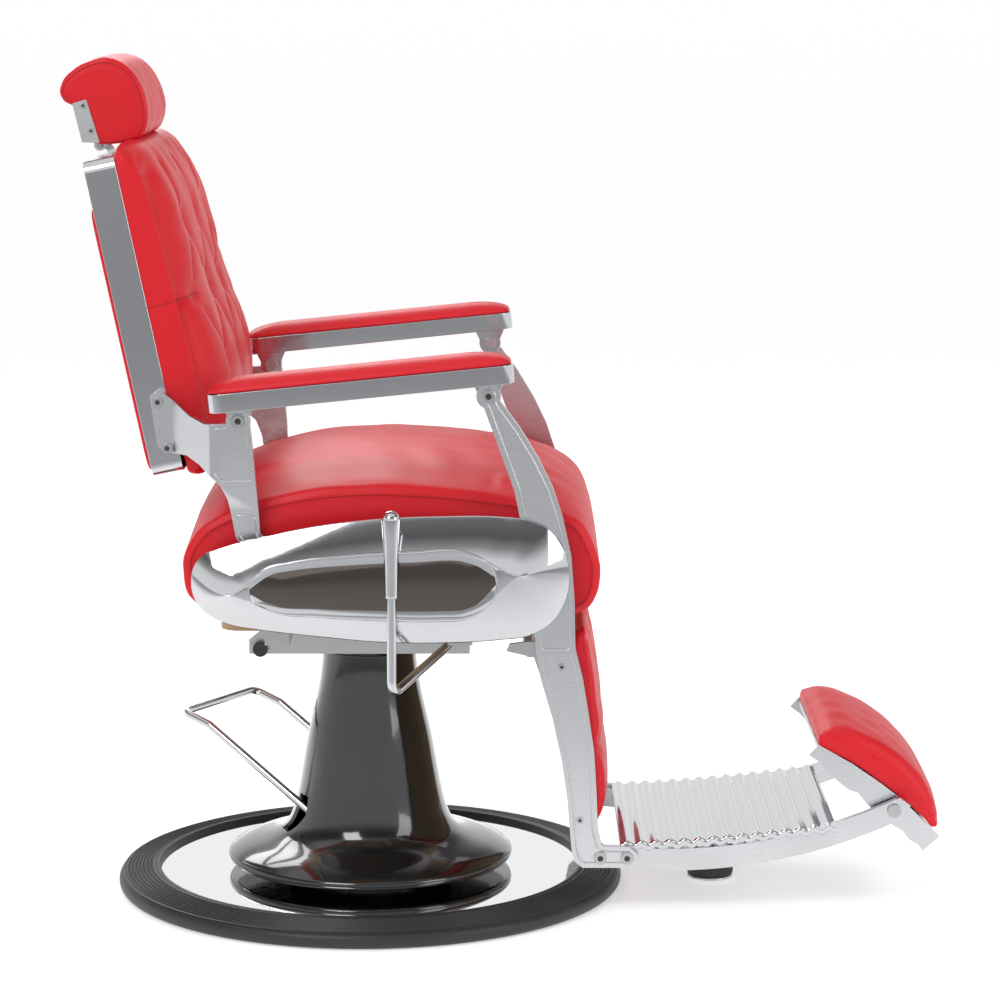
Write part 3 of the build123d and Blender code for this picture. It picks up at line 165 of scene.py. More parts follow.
class Shader(Nodes):
    """A material under construction: its node tree, its Principled shader and its Object coordinates."""

    def __init__(self, name: str) -> None:
        """Make an empty node material with one Principled shader."""
        self.material = bpy.data.materials.new(name)
        self.material.use_nodes = True
        super().__init__(self.material.node_tree)
        self.principled = self.tree.nodes["Principled BSDF"]
        self.place = self.node("ShaderNodeTexCoord", out="Object")

    def noise(self, scale: float, detail: float = 3.0, roughness: float = 0.5,
              where: "Wire | None" = None) -> Wire:
        """Noise value on Object coordinates."""
        return self.node("ShaderNodeTexNoise", 0, Vector=where or self.place, Scale=scale, Detail=detail,
                         Roughness=roughness)

    def stretched(self, x: float, y: float, z: float) -> Wire:
        """Object coordinates scaled along each axis."""
        return self.node("ShaderNodeMapping", 0, Vector=self.place, Scale=(x, y, z))

    def cells(self, scale: float) -> Wire:
        """Voronoi distance on Object coordinates."""
        return self.node("ShaderNodeTexVoronoi", 0, {"feature": "F1"}, Vector=self.place, Scale=scale)

    def mix(self, factor: "Wire | float", low: "Wire | tuple", high: "Wire | tuple") -> Wire:
        """Blend two colours."""
        return self.node("ShaderNodeMix", 2, {"data_type": "RGBA"}, _0=factor, _6=low, _7=high)

    def bump(self, height: Wire, strength: float, distance: float) -> Wire:
        """Bump normal from a height."""
        return self.node("ShaderNodeBump", 0, Height=height, Strength=strength, Distance=distance)

    def set(self, **inputs: "Wire | float | tuple") -> "Shader":
        """Set or link sockets of the Principled shader.

        Args:
            inputs: values or wires by socket name, spaces written as underscores.
        Returns:
            This shader.
        """
        for key, value in inputs.items():
            self.feed(self.principled.inputs[key.replace("_", " ")], value)
        return self


# --------------------------------------------------------------------------- finishes

@dataclass(frozen=True)
class Leather:
    """Smooth upholstery leather with a fine pebble grain and soft wrinkles."""

    name: str = "red_leather"
    colour: tuple = (0.72, 0.008, 0.018, 1)
    deep: tuple = (0.58, 0.005, 0.012, 1)
    grain: float = 420.0

    def build(self) -> bpy.types.Material:
        """Return the material."""
        s = Shader(self.name)
        tone = s.noise(3.0, 4.0)
        fleck = s.noise(60.0, 2.0)
        base = s.mix(tone * 0.5 + fleck * 0.18, self.colour, self.deep)
        pebble = s.cells(self.grain)
        crease = s.noise(38.0, 5.0, 0.62, s.stretched(1.0, 0.45, 1.2))
        normal = s.bump(pebble * 0.28 + crease * 0.8, 0.16, 0.0011)
        rough = s.noise(14.0, 3.0) * 0.10 + pebble * 0.06 + 0.36
        s.set(Base_Color=base, Roughness=rough, Normal=normal, Coat_Weight=0.0, Specular_IOR_Level=0.34)
        return s.material


@dataclass(frozen=True)
class Polished:
    """Bright plated metal with faint wipe marks."""

    name: str = "chrome"
    colour: tuple = (0.61, 0.62, 0.64, 1)
    roughness: float = 0.045
    wear: float = 0.05

    def build(self) -> bpy.types.Material:
        """Return the material."""
        s = Shader(self.name)
        wipe = s.noise(9.0, 4.0, 0.6, s.stretched(1.0, 1.0, 0.3))
        specks = s.noise(160.0, 2.0)
        tone = s.mix(wipe * 0.4, self.colour, tuple(0.93 * c for c in self.colour[:3]) + (1,))
        s.set(Base_Color=tone, Metallic=1.0, Roughness=wipe * self.wear + specks * 0.02 + self.roughness,
              Normal=s.bump(s.noise(22.0, 2.0), 0.02, 0.0015))
        return s.material


@dataclass(frozen=True)
class Brushed:
    """Satin metal with a grain that runs one way and small casting marks."""

    name: str
    colour: tuple = (0.66, 0.67, 0.69, 1)
    roughness: float = 0.24
    run: tuple = (30.0, 30.0, 900.0)
    grain: float = 0.12

    def build(self) -> bpy.types.Material:
        """Return the material."""
        s = Shader(self.name)
        streak = s.noise(1.0, 4.0, 0.7, s.stretched(*self.run))
        cloud = s.noise(12.0, 5.0, 0.6)
        darker = tuple(0.78 * c for c in self.colour[:3]) + (1,)
        tone = s.mix(cloud * 0.55 + streak * 0.25, self.colour, darker)
        s.set(Base_Color=tone, Metallic=1.0, Roughness=streak * 0.14 + cloud * 0.10 + (self.roughness - 0.08),
              Normal=s.bump(streak * 0.6 + cloud * 0.5, self.grain, 0.0006))
        return s.material


@dataclass(frozen=True)
class Moulded:
    """Plastic, paint or rubber: one colour with small tone and gloss changes."""

    name: str
    colour: tuple
    roughness: float
    coat: float = 0.0
    pits: float = 0.05
    scale: float = 300.0

    def build(self) -> bpy.types.Material:
        """Return the material."""
        s = Shader(self.name)
        dust = s.noise(18.0, 5.0, 0.65)
        lighter = tuple(min(1.0, c * 1.35 + 0.004) for c in self.colour[:3]) + (1,)
        s.set(Base_Color=s.mix(dust * 0.7, self.colour, lighter),
              Roughness=dust * 0.10 + (self.roughness - 0.04), Coat_Weight=self.coat, Coat_Roughness=0.04,
              Normal=s.bump(s.noise(self.scale, 3.0), self.pits, 0.0005))
        return s.material


@dataclass(frozen=True)
class Plywood:
    """Plain board with a wavy grain."""

    name: str = "plywood"
    light: tuple = (0.60, 0.42, 0.24, 1)
    dark: tuple = (0.36, 0.22, 0.11, 1)

    def build(self) -> bpy.types.Material:
        """Return the material."""
        s = Shader(self.name)
        grain = s.noise(6.0, 6.0, 0.6, s.stretched(1.0, 12.0, 12.0))
        s.set(Base_Color=s.mix(grain, self.light, self.dark), Roughness=grain * 0.2 + 0.5,
              Normal=s.bump(grain, 0.2, 0.0006))
        return s.material


def make_finishes() -> "dict[str, bpy.types.Material]":
    """Build every finish once, by the record's slot name or its own."""
    finishes = {
        "red_leather": Leather(),
        "stitch": Moulded("stitch", (0.33, 0.006, 0.010, 1), 0.6),
        "chrome": Polished(),
        "mirror": Polished("mirror", (0.90, 0.915, 0.93, 1), 0.012, 0.02),
        "smoked_mirror": Polished("smoked_mirror", (0.15, 0.128, 0.118, 1), 0.03, 0.02),
        "satin_aluminium": Brushed("satin_aluminium"),
        "steel": Brushed("steel", (0.52, 0.52, 0.53, 1), 0.32, (400.0, 40.0, 400.0)),
        "dark_iron": Moulded("dark_iron", (0.03, 0.03, 0.033, 1), 0.55, 0.0, 0.4, 160.0),
        "gloss_black": Moulded("gloss_black", (0.006, 0.006, 0.007, 1), 0.13, 0.8, 0.015, 60.0),
        "black_plastic": Moulded("black_plastic", (0.02, 0.02, 0.021, 1), 0.42, 0.0, 0.25),
        "rubber": Moulded("rubber", (0.014, 0.014, 0.015, 1), 0.44, 0.0, 0.3),
        "plywood": Plywood(),
    }
    return {slot: finish.build() for slot, finish in finishes.items()}


# ------------------------------------------------------------------------ mesh tools

def put_mesh(name: str, points: np.ndarray, faces: "np.ndarray | list",
             smooth: bool = True) -> bpy.types.Object:
    """Make a mesh object from arrays.

    Args:
        name: the piece's name.
        points: (n, 3) places in metres.
        faces: corner indices of each face.
        smooth: shade the faces smooth.
    Returns:
        The object, linked to the scene.
    """
    mesh = bpy.data.meshes.new(name)
    mesh.from_pydata(points.tolist(), [], faces if isinstance(faces, list) else faces.tolist())
    mesh.polygons.foreach_set("use_smooth", np.full(len(mesh.polygons), smooth))
    mesh.update()
    piece = bpy.data.objects.new(name, mesh)
    bpy.context.scene.collection.objects.link(piece)
    return piece


def grid_faces(rows: int, columns: int, wrap_rows: bool, wrap_columns: bool) -> np.ndarray:
    """Quads over a grid of points.

    Args:
        rows: points down the grid.
        columns: points along each row.
        wrap_rows: the last row joins the first.
        wrap_columns: the last column joins the first.
    Returns:
        (m, 4) corner indices.
    """
    last_row = rows if wrap_rows else rows - 1
    last_column = columns if wrap_columns else columns - 1
    row, column = np.meshgrid(np.arange(last_row), np.arange(last_column), indexing="ij")
    next_row, next_column = (row + 1) % rows, (column + 1) % columns
    corners = [row * columns + column, next_row * columns + column,
               next_row * columns + next_column, row * columns + next_column]
    return np.stack([c.ravel() for c in corners], axis=1)


def curve_through(points: "list[tuple[float, float]]", count: int, closed: bool = True) -> np.ndarray:
    """Smooth curve through points at even steps of length.

    Each span is a cubic whose end directions are the neighbouring chords' directions, each weighted
    by the other chord's length, and whose end speeds are its own chord length.

    Args:
        points: the places that the curve passes through.
        count: how many places to return.
        closed: the last point joins the first.
    Returns:
        (count, 2) places.
    """
    knots = np.array(points, float)
    total = len(knots)
    ahead = np.roll(knots, -1, axis=0) - knots
    reach = np.linalg.norm(ahead, axis=1)[:, None] + TINY
    way = ahead / reach
    before, reach_before = np.roll(way, 1, axis=0), np.roll(reach, 1, axis=0)
    if not closed:
        before[0], way[-1] = way[0], before[-1]
        reach_before[0], reach[-1] = reach[0], reach_before[-1]
    slope = (before * reach + way * reach_before) / (reach + reach_before)
    spans = total if closed else total - 1
    t = np.linspace(0, spans, 40 * spans, endpoint=not closed)
    index = np.minimum(t.astype(int), spans - 1)
    u = (t - index)[:, None]
    start, end = knots[index], knots[(index + 1) % total]
    leave, arrive = slope[index] * reach[index], slope[(index + 1) % total] * reach[index]
    dense = ((2 * u ** 3 - 3 * u ** 2 + 1) * start + (u ** 3 - 2 * u ** 2 + u) * leave
             + (3 * u ** 2 - 2 * u ** 3) * end + (u ** 3 - u ** 2) * arrive)
    loop = np.vstack([dense, dense[:1]]) if closed else dense
    length = np.concatenate([[0], np.cumsum(np.linalg.norm(np.diff(loop, axis=0), axis=1))])
    wanted = np.linspace(0, length[-1], count, endpoint=not closed)
    return np.stack([np.interp(wanted, length, loop[:, k]) for k in range(loop.shape[1])], axis=1)


def inward(outline: np.ndarray) -> np.ndarray:
    """Unit normals of a closed plane outline: each point's way along, turned a quarter to the inside.

    Args:
        outline: (n, 2) places.
    Returns:
        (n, 2) normals that point inside.
    """
    along = np.roll(outline, -1, axis=0) - np.roll(outline, 1, axis=0)
    along /= np.linalg.norm(along, axis=1)[:, None] + TINY
    normal = np.stack([-along[:, 1], along[:, 0]], axis=1)
    x, y = outline[:, 0], outline[:, 1]
    area = 0.5 * np.sum(x * np.roll(y, -1) - np.roll(x, -1) * y)
    return normal * np.sign(area)


def face_outwards(piece: bpy.types.Object) -> bpy.types.Object:
    """Turn the faces of a closed mesh outwards, judged by its signed volume.

    Args:
        piece: the mesh object.
    Returns:
        The same object.
    """
    mesh = piece.data
    mesh.calc_loop_triangles()
    points = np.empty(len(mesh.vertices) * 3)
    mesh.vertices.foreach_get("co", points)
    points = points.reshape(-1, 3)
    corners = np.empty(len(mesh.loop_triangles) * 3, int)
    mesh.loop_triangles.foreach_get("vertices", corners)
    a, b, c = (points[corners.reshape(-1, 3)[:, k]] for k in range(3))
    if np.einsum("ij,ij->i", a, np.cross(b, c)).sum() < 0:
        mesh.flip_normals()
    return piece


def tube(name: str, path: np.ndarray, radius: "float | np.ndarray", sides: int = 12,
         closed: bool = False) -> bpy.types.Object:
    """Round tube: a circle carried along the path on a frame that turns as little as possible.

    Args:
        name: the piece's name.
        path: (n, 3) places in metres.
        radius: the circle's radius, or one for each place.
        sides: points round the circle.
        closed: the path's end joins its start; otherwise both ends are capped.
    Returns:
        The tube.
    """
    count = len(path)
    if closed:
        along = np.roll(path, -1, axis=0) - np.roll(path, 1, axis=0)
    else:
        along = np.gradient(path, axis=0)
    along /= np.linalg.norm(along, axis=1)[:, None] + 1e-12
    guide = np.array([0.0, 0.0, 1.0]) if abs(along[0][2]) < 0.9 else np.array([1.0, 0.0, 0.0])
    first = np.empty_like(path)
    for k in range(count):
        guide = guide - along[k] * guide.dot(along[k])
        guide /= np.linalg.norm(guide) + 1e-12
        first[k] = guide
    second = np.cross(along, first)
    angle = np.linspace(0, 2 * np.pi, sides, endpoint=False)
    size = np.broadcast_to(np.asarray(radius, float), (count,))[:, None, None]
    ring = (path[:, None, :] + size * (np.cos(angle)[None, :, None] * first[:, None, :]
                                       + np.sin(angle)[None, :, None] * second[:, None, :]))
    points = ring.reshape(-1, 3)
    faces = grid_faces(count, sides, closed, True).tolist()
    if not closed:
        points = np.vstack([points, path[:1], path[-1:]])
        round_ring = np.arange(sides)
        near = np.stack([np.full(sides, count * sides), round_ring, np.roll(round_ring, -1)], axis=1)
        far = np.stack([np.full(sides, count * sides + 1), np.roll(round_ring, -1), round_ring], axis=1)
        far[:, 1:] += (count - 1) * sides
        faces += near.tolist() + far.tolist()
    return face_outwards(put_mesh(name, points, faces))


def lathe(name: str, profile: np.ndarray, centre: tuple, sides: int = 96, wave: "np.ndarray | None" = None,
          closed: bool = True) -> bpy.types.Object:
    """Turned piece: a profile of (radius, height) carried round the vertical through the centre.

    Args:
        name: the piece's name.
        profile: (n, 2) radii and heights in metres.
        centre: the foot of the vertical.
        sides: copies of the profile round the circle.
        wave: factor on the radius for each side and profile point.
        closed: the profile's end joins its start.
    Returns:
        The turned piece.
    """
    angle = np.linspace(0, 2 * np.pi, sides, endpoint=False)
    radius = profile[:, 0][None, :] * (np.ones((sides, 1)) if wave is None else wave)
    height = np.broadcast_to(centre[2] + profile[:, 1][None, :], radius.shape)
    points = np.stack([centre[0] + radius * np.cos(angle)[:, None],
                       centre[1] + radius * np.sin(angle)[:, None], height], axis=2)
    return face_outwards(put_mesh(name, points.reshape(-1, 3), grid_faces(sides, len(profile), True, closed)))


def joined(name: str, pieces: "list[bpy.types.Object]") -> bpy.types.Object:
    """Put several meshes into one piece.

    Args:
        name: the new piece's name.
        pieces: the objects, which are removed.
    Returns:
        The new piece.
    """
    points, faces, start = [], [], 0
    for piece in pieces:
        mesh = piece.data
        block = np.empty(len(mesh.vertices) * 3)
        mesh.vertices.foreach_get("co", block)
        points.append(block.reshape(-1, 3))
        faces += [[start + corner for corner in polygon.vertices] for polygon in mesh.polygons]
        start += len(mesh.vertices)
        bpy.data.objects.remove(piece)
    return put_mesh(name, np.vstack(points), faces)


# ------------------------------------------------------------------------ upholstery

def sealed(piece: bpy.types.Object) -> bpy.types.Object:
    """Merge doubled points, fill what is left open and turn the faces outwards.

    Args:
        piece: the mesh object.
    Returns:
        The same object.
    """
    work = bmesh.new()
    work.from_mesh(piece.data)
    bmesh.ops.remove_doubles(work, verts=work.verts, dist=0.00002)
    bmesh.ops.holes_fill(work, edges=[edge for edge in work.edges if edge.is_boundary], sides=0)
    bmesh.ops.recalc_face_normals(work, faces=work.faces)
    for face in work.faces:
        face.smooth = True
    work.to_mesh(piece.data)
    work.free()
    return face_outwards(piece)


@dataclass
class PadShape:
    """A padded form: a closed side outline carried across the chair, rounded at both sides.

    The outline is in (X, Z) millimetres. Across the width the outline is drawn in by the crown,
    by a quarter circle of the corner radius at the edge, and then closes over the side panel,
    which bulges a little and meets in a seam line.
    """

    name: str
    outline: "list[tuple[float, float]]"
    half_width: float
    corner: float
    crown: float = 4.0
    side_bulge: float = 3.0
    around: int = 260
    across: int = 150
    groove: float = 1.6
    crown_way: "tuple[float, float]" = (0.0, 1.0)
    spine: tuple = ((0.0, 0.0), (1.0, 0.0))
    crown_power: float = 3.0
    corner_rear: float = 0.4
    corner_power: float = 1.0

    def toward(self, ring: np.ndarray) -> "tuple[np.ndarray, np.ndarray, np.ndarray]":
        """Find each outline point's nearest station on the spine, and its smoothed way there.

        Args:
            ring: (n, 2) outline points.
        Returns:
            Unit ways towards the spine, distances, and the stations.
        """
        knots = np.array(self.spine, float)
        marks = np.linspace(0, len(knots) - 1, self.around // 3)
        line = np.stack([np.interp(marks, np.arange(len(knots)), knots[:, k]) for k in range(2)], axis=1)
        station = line[np.argmin(np.linalg.norm(ring[:, None] - line[None], axis=2), axis=1)]
        span = max(3, len(ring) // 40)
        near = sum(np.roll(station, shift, axis=0) for shift in range(-span, span + 1)) / (2 * span + 1)
        gap = near - ring
        reach = np.linalg.norm(gap, axis=1)
        return gap / reach[:, None], reach, station

    def inset_at(self, ring: np.ndarray, y: np.ndarray) -> np.ndarray:
        """How far the outline is drawn in: a power of the place across for the crown, then a quarter circle.

        Args:
            ring: (n, 2) outline points.
            y: places across in millimetres.
        Returns:
            (n, len(y)) distances in millimetres.
        """
        facing = -(inward(ring) @ np.array(self.crown_way))[:, None]
        weight = np.clip(0.5 + 0.5 * facing, 0, 1) ** self.corner_power
        edge = self.half_width - self.corner
        over = np.clip((np.abs(y) - edge) / self.corner, 0, 1)[None, :]
        outward = np.minimum(np.abs(y), self.half_width) / self.half_width
        crown = self.crown * outward[None, :] ** self.crown_power
        quarter = self.corner * (1 - np.sqrt(1 - over ** 2))
        return np.clip(facing, 0, 1) * crown + (self.corner_rear + (1 - self.corner_rear) * weight) * quarter

    def points(self, relief: "Callable | None" = None) -> np.ndarray:
        """Work out the form on a grid of places round the outline and across.

        Args:
            relief: relief(x, y, z, facing) gives an outward push in millimetres.
        Returns:
            (around, across, 3) places in millimetres.
        """
        ring = curve_through(self.outline, self.around)
        way, reach, station = self.toward(ring)
        normal = inward(ring)
        edge = self.half_width - self.corner
        steps = np.linspace(-edge, edge, self.across)
        turn = np.linspace(0, np.pi / 2, 12)[1:]
        corner_y = edge + self.corner * np.sin(turn)
        shrink = np.linspace(0, 1, SIDE_STEPS + 1)[1:] ** 1.1
        y = np.concatenate([-corner_y[::-1], steps, corner_y])
        inset = self.inset_at(ring, y)
        seam_at = np.abs(np.abs(y) - (self.half_width - self.corner * 0.12))
        inset = inset + (self.groove * np.exp(-(seam_at / 1.3) ** 2))[None, :]
        inset = np.minimum(inset, 0.8 * reach[:, None])
        wall = ring[:, None, :] + way[:, None, :] * inset[:, :, None]
        side = wall[:, -1:, :] + (station[:, None, :] - wall[:, -1:, :]) * shrink[None, :, None]
        side_y = self.half_width + self.side_bulge * np.sin(np.pi * 0.5 * np.clip(shrink * 3, 0, 1)) ** 2
        flat = np.concatenate([side[:, ::-1], wall, side], axis=1)
        y = np.concatenate([-side_y[::-1], y, side_y])
        grid = np.stack([flat[..., 0], np.broadcast_to(y, flat.shape[:2]), flat[..., 1]], axis=2)
        if relief is not None:
            panel = np.zeros(SIDE_STEPS)
            open_face = np.concatenate([panel, np.ones(len(y) - 2 * SIDE_STEPS), panel])
            push = relief(grid[..., 0], grid[..., 1], grid[..., 2], -normal) * open_face[None, :]
            grid[..., 0] -= normal[:, None, 0] * push
            grid[..., 2] -= normal[:, None, 1] * push
        return grid

    def build(self, relief: "Callable | None" = None) -> bpy.types.Object:
        """Return the closed pad as one mesh."""
        grid = self.points(relief)
        piece = put_mesh(self.name, grid.reshape(-1, 3) * MM, grid_faces(*grid.shape[:2], True, False))
        return sealed(piece)

    def seam_line(self, side: int, inset: float, proud: float, count: int = 240) -> np.ndarray:
        """Closed line round one side panel.

        Args:
            side: the sign of Y.
            inset: distance inside the seam where the panel starts.
            proud: distance outside the pad's width.
            count: points on the line.
        Returns:
            (count + 1, 3) places in metres.
        """
        ring = curve_through(self.outline, count)
        way, reach, _ = self.toward(ring)
        total = self.inset_at(ring, np.array([self.half_width]))[:, 0] + inset
        shifted = ring + way * np.minimum(total, 0.8 * reach + inset)[:, None]
        y = np.full(count, side * (self.half_width + proud))
        line = np.stack([shifted[:, 0], y, shifted[:, 1]], axis=1) * MM
        return np.vstack([line, line[:1]])


def soft_noise(x: np.ndarray, y: np.ndarray, scale: float, seed: int, waves: int = 9) -> np.ndarray:
    """Smooth waviness between about -1 and 1: a sum of sine waves of random direction near one length.

    Args:
        x: places along one way.
        y: places along the other way.
        scale: the waves' length.
        seed: seed of the random directions.
        waves: how many waves are summed.
    Returns:
        The waviness at each place.
    """
    random = np.random.default_rng(seed)
    total = np.zeros(np.broadcast(x, y).shape)
    for _ in range(waves):
        angle = random.uniform(0, 2 * np.pi)
        phase = random.uniform(0, 2 * np.pi)
        stretch = random.uniform(0.6, 1.6)
        along = x * np.cos(angle) + y * np.sin(angle)
        total = total + np.sin(along * 2 * np.pi * stretch / scale + phase)
    return total / waves ** 0.5 / 1.4


def crease(distance: np.ndarray, width: float) -> np.ndarray:
    """Depth of a sewn fold from 1 on its line to 0 away from it, sharp in the middle and wide at its foot."""
    return 0.55 * np.exp(-np.abs(distance) / width) + 0.45 * np.exp(-(distance / (2.6 * width)) ** 2)


def segment_distance(u: np.ndarray, v: np.ndarray, start: tuple, end: tuple) -> np.ndarray:
    """Distance from points to a straight piece: the way to the nearest point on it.

    Args:
        u: the points' first coordinates.
        v: the points' second coordinates.
        start: one end of the piece.
        end: its other end.
    Returns:
        The distance of each point.
    """
    du, dv = end[0] - start[0], end[1] - start[1]
    t = np.clip(((u - start[0]) * du + (v - start[1]) * dv) / (du * du + dv * dv), 0, 1)
    return np.hypot(u - start[0] - t * du, v - start[1] - t * dv)


@dataclass
class Tufting:
    """Diamond tufting on a face: buttonless dimples on a staggered net joined by folds."""

    tufts: "list[tuple[float, float]]"
    folds: "list[tuple[tuple[float, float], tuple[float, float]]]"
    depth: float = 15.0
    fold_depth: float = 7.0
    dimple: float = 15.0
    fold_width: float = 5.0

    def push(self, u: np.ndarray, v: np.ndarray) -> np.ndarray:
        """Depth of folds and dimples, whichever is deeper at a place.

        Args:
            u: places across the face.
            v: places up the face.
        Returns:
            Outward push in millimetres, never above zero.
        """
        total = np.zeros(u.shape)
        for a, b in self.folds:
            total = np.maximum(total, self.fold_depth * crease(segment_distance(u, v, a, b), self.fold_width))
        for a in self.tufts:
            away = np.hypot(u - a[0], v - a[1])
            total = np.maximum(total, self.depth * (0.45 * np.exp(-away / (0.5 * self.dimple))
                                                    + 0.55 * np.exp(-(away / (1.6 * self.dimple)) ** 2)))
        return -total


def stitch_row(name: str, line: np.ndarray, pitch: float = 0.006, length: float = 0.0038,
               radius: float = 0.0006) -> bpy.types.Object:
    """Row of thread stitches: short round bars laid end to end with gaps along a line.

    Args:
        name: the piece's name.
        line: (n, 3) places in metres.
        pitch: distance from stitch to stitch.
        length: length of a stitch.
        radius: radius of the thread.
    Returns:
        All stitches as one piece.
    """
    step = np.linalg.norm(np.diff(line, axis=0), axis=1)
    run = np.concatenate([[0], np.cumsum(step)])
    centres = np.arange(pitch / 2, run[-1] - pitch / 2, pitch)

    def place(at: np.ndarray) -> np.ndarray:
        """Places on the line at given lengths."""
        return np.stack([np.interp(at, run, line[:, k]) for k in range(3)], axis=1)

    start, end = place(centres - length / 2), place(centres + length / 2)
    along = end - start
    along /= np.linalg.norm(along, axis=1)[:, None]
    up = np.cross(along, np.array([0.0, 1.0, 0.0]))
    up /= np.linalg.norm(up, axis=1)[:, None] + TINY
    side = np.cross(along, up)
    angle = np.linspace(0, 2 * np.pi, 6, endpoint=False)
    ring = np.cos(angle)[None, :, None] * up[:, None, :] + np.sin(angle)[None, :, None] * side[:, None, :]
    levels = [(start - along * radius * 0.6, 0.4), (start + along * radius, 1.0), (end - along * radius, 1.0),
              (end + along * radius * 0.6, 0.4)]
    points = np.stack([at[:, None, :] + ring * radius * size for at, size in levels], axis=1)
    one = grid_faces(4, 6, False, True)
    count = len(centres)
    faces = (one[None] + 24 * np.arange(count)[:, None, None]).reshape(-1, 4).tolist()
    for k in range(count):
        faces.append([24 * k + c for c in range(5, -1, -1)])
        faces.append([24 * k + 18 + c for c in range(6)])
    return face_outwards(put_mesh(name, points.reshape(-1, 3), faces))


@dataclass
class Dresser:
    """Gives finished pieces their material, body and replaced nodes, and logs them."""

    finishes: "dict[str, bpy.types.Material]"

    def paint(self, piece: bpy.types.Object, finish: str) -> bpy.types.Object:
        """Give a piece one material."""
        piece.data.materials.clear()
        piece.data.materials.append(self.finishes[finish])
        return piece

    def add(self, piece: bpy.types.Object, body: str, finish: str, slot: "str | None" = None,
            stands_for: "tuple[str, ...]" = ()) -> bpy.types.Object:
        """Dress a new piece and let it ride on a body.

        Args:
            piece: the mesh object.
            body: the body that carries it.
            finish: its material.
            slot: its slot in the record, where that isn't the finish's own name; not used.
            stands_for: CAD nodes that it replaces.
        Returns:
            The same object.
        """
        self.paint(piece, finish)
        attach(piece, body)
        if stands_for:
            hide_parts(*stands_for)
        log.info("piece %s rides on %s, %d faces", piece.name, body, len(piece.data.polygons))
        return piece

    def pad(self, piece: bpy.types.Object, body: str, node: str, fill: float = 0.75) -> bpy.types.Object:
        """Dress a padded piece that stands for a plain CAD solid.

        Args:
            piece: the mesh object.
            body: the body that carries it.
            node: the CAD node that it replaces.
            fill: how much of the solid's room it fills; not used.
        Returns:
            The same object.
        """
        self.add(piece, body, "red_leather", "red_leather", (node,))
        return piece


def laid_on(piece: bpy.types.Object, places: np.ndarray, way: tuple) -> np.ndarray:
    """Drop places along a way onto a piece.

    Args:
        piece: the mesh object.
        places: (n, 3) places in metres.
        way: the way they fall.
    Returns:
        Where they land; places that miss the piece are left out.
    """
    work = bmesh.new()
    work.from_mesh(piece.data)
    tree = BVHTree.FromBMesh(work)
    hits = [tree.ray_cast(Vector(place), Vector(way))[0] for place in places]
    work.free()
    return np.array([list(hit) for hit in hits if hit is not None])


def lozenge(length: float, width: float, corner: float, count: int = 160) -> np.ndarray:
    """Outline of a rectangle with round corners: four quarter circles and the straights between them.

    Args:
        length: the rectangle's first side.
        width: its second side.
        corner: radius of its corners.
        count: how many places to return.
    Returns:
        (count, 2) places, anticlockwise at even steps of length.
    """
    a, b = length / 2 - corner, width / 2 - corner
    turn = np.linspace(0, np.pi / 2, 24)
    arcs = [np.stack([sx * a + corner * np.cos(turn + start),
                      sy * b + corner * np.sin(turn + start)], axis=1)
            for sx, sy, start in ((1, 1, 0), (-1, 1, np.pi / 2), (-1, -1, np.pi), (1, -1, 1.5 * np.pi))]
    loop = np.vstack(arcs + [arcs[0][:1]])
    run = np.concatenate([[0], np.cumsum(np.linalg.norm(np.diff(loop, axis=0), axis=1))])
    wanted = np.linspace(0, run[-1], count, endpoint=False)
    return np.stack([np.interp(wanted, run, loop[:, k]) for k in range(2)], axis=1)


def domed(name: str, outline: np.ndarray, spine: np.ndarray, layers: "list[tuple[float, float]]",
          place: Callable) -> bpy.types.Object:
    """Closed low form over an outline.

    Each layer (share, height) draws the outline towards its spine by the share and lifts it to the
    height; the first and last layers have share 1 and close the form on the spine.

    Args:
        name: the piece's name.
        outline: (n, 2) places.
        spine: each outline point's place on the spine.
        layers: shares and heights, from the underside round to the top.
        place: turns (n, 3) places over the outline into places in the chair, in millimetres.
    Returns:
        The closed form.
    """
    share = np.array([layer[0] for layer in layers])[:, None, None]
    height = np.array([layer[1] for layer in layers])
    flat = outline[None] + (spine - outline)[None] * share
    grid = np.concatenate([flat, np.broadcast_to(height[:, None, None], flat.shape[:2] + (1,))], axis=2)
    points = place(grid.reshape(-1, 3))
    piece = put_mesh(name, points * MM, grid_faces(len(layers), len(outline), False, True))
    return sealed(piece)


def merged_copy(node: str) -> bmesh.types.BMesh:
    """Loose triangles of a CAD node as one connected mesh, for reading or for a new piece."""
    work = bmesh.new()
    work.from_mesh(frame["nodes"][node].data)
    bmesh.ops.remove_doubles(work, verts=work.verts, dist=DOUBLED)
    return work


def bevelled(node: str, width: float, segments: int = 2, angle: float = 32.0) -> bpy.types.Object:
    """Copy of a CAD node with its doubles merged, its flats made whole and its sharp edges rounded.

    Args:
        node: the CAD node.
        width: the rounding's width in millimetres.
        segments: the rounding's faces across.
        angle: edges sharper than this many degrees are rounded.
    Returns:
        The new piece.
    """
    mesh = frame["nodes"][node].data.copy()
    mesh.materials.clear()
    work = merged_copy(node)
    bmesh.ops.dissolve_limit(work, angle_limit=math.radians(0.6), verts=work.verts, edges=work.edges)
    for face in work.faces:
        face.smooth = True
    work.to_mesh(mesh)
    work.free()
    piece = bpy.data.objects.new(node + "_finished", mesh)
    bpy.context.scene.collection.objects.link(piece)
    rounding = piece.modifiers.new("rounding", "BEVEL")
    rounding.width = width * MM
    rounding.segments = segments
    rounding.limit_method = "ANGLE"
    rounding.angle_limit = math.radians(angle)
    rounding.harden_normals = True
    rounding.use_clamp_overlap = True
    even = piece.modifiers.new("even_shading", "WEIGHTED_NORMAL")
    even.weight = 80
    even.keep_sharp = True
    return piece


# ------------------------------------------------------------------------ sub-assemblies

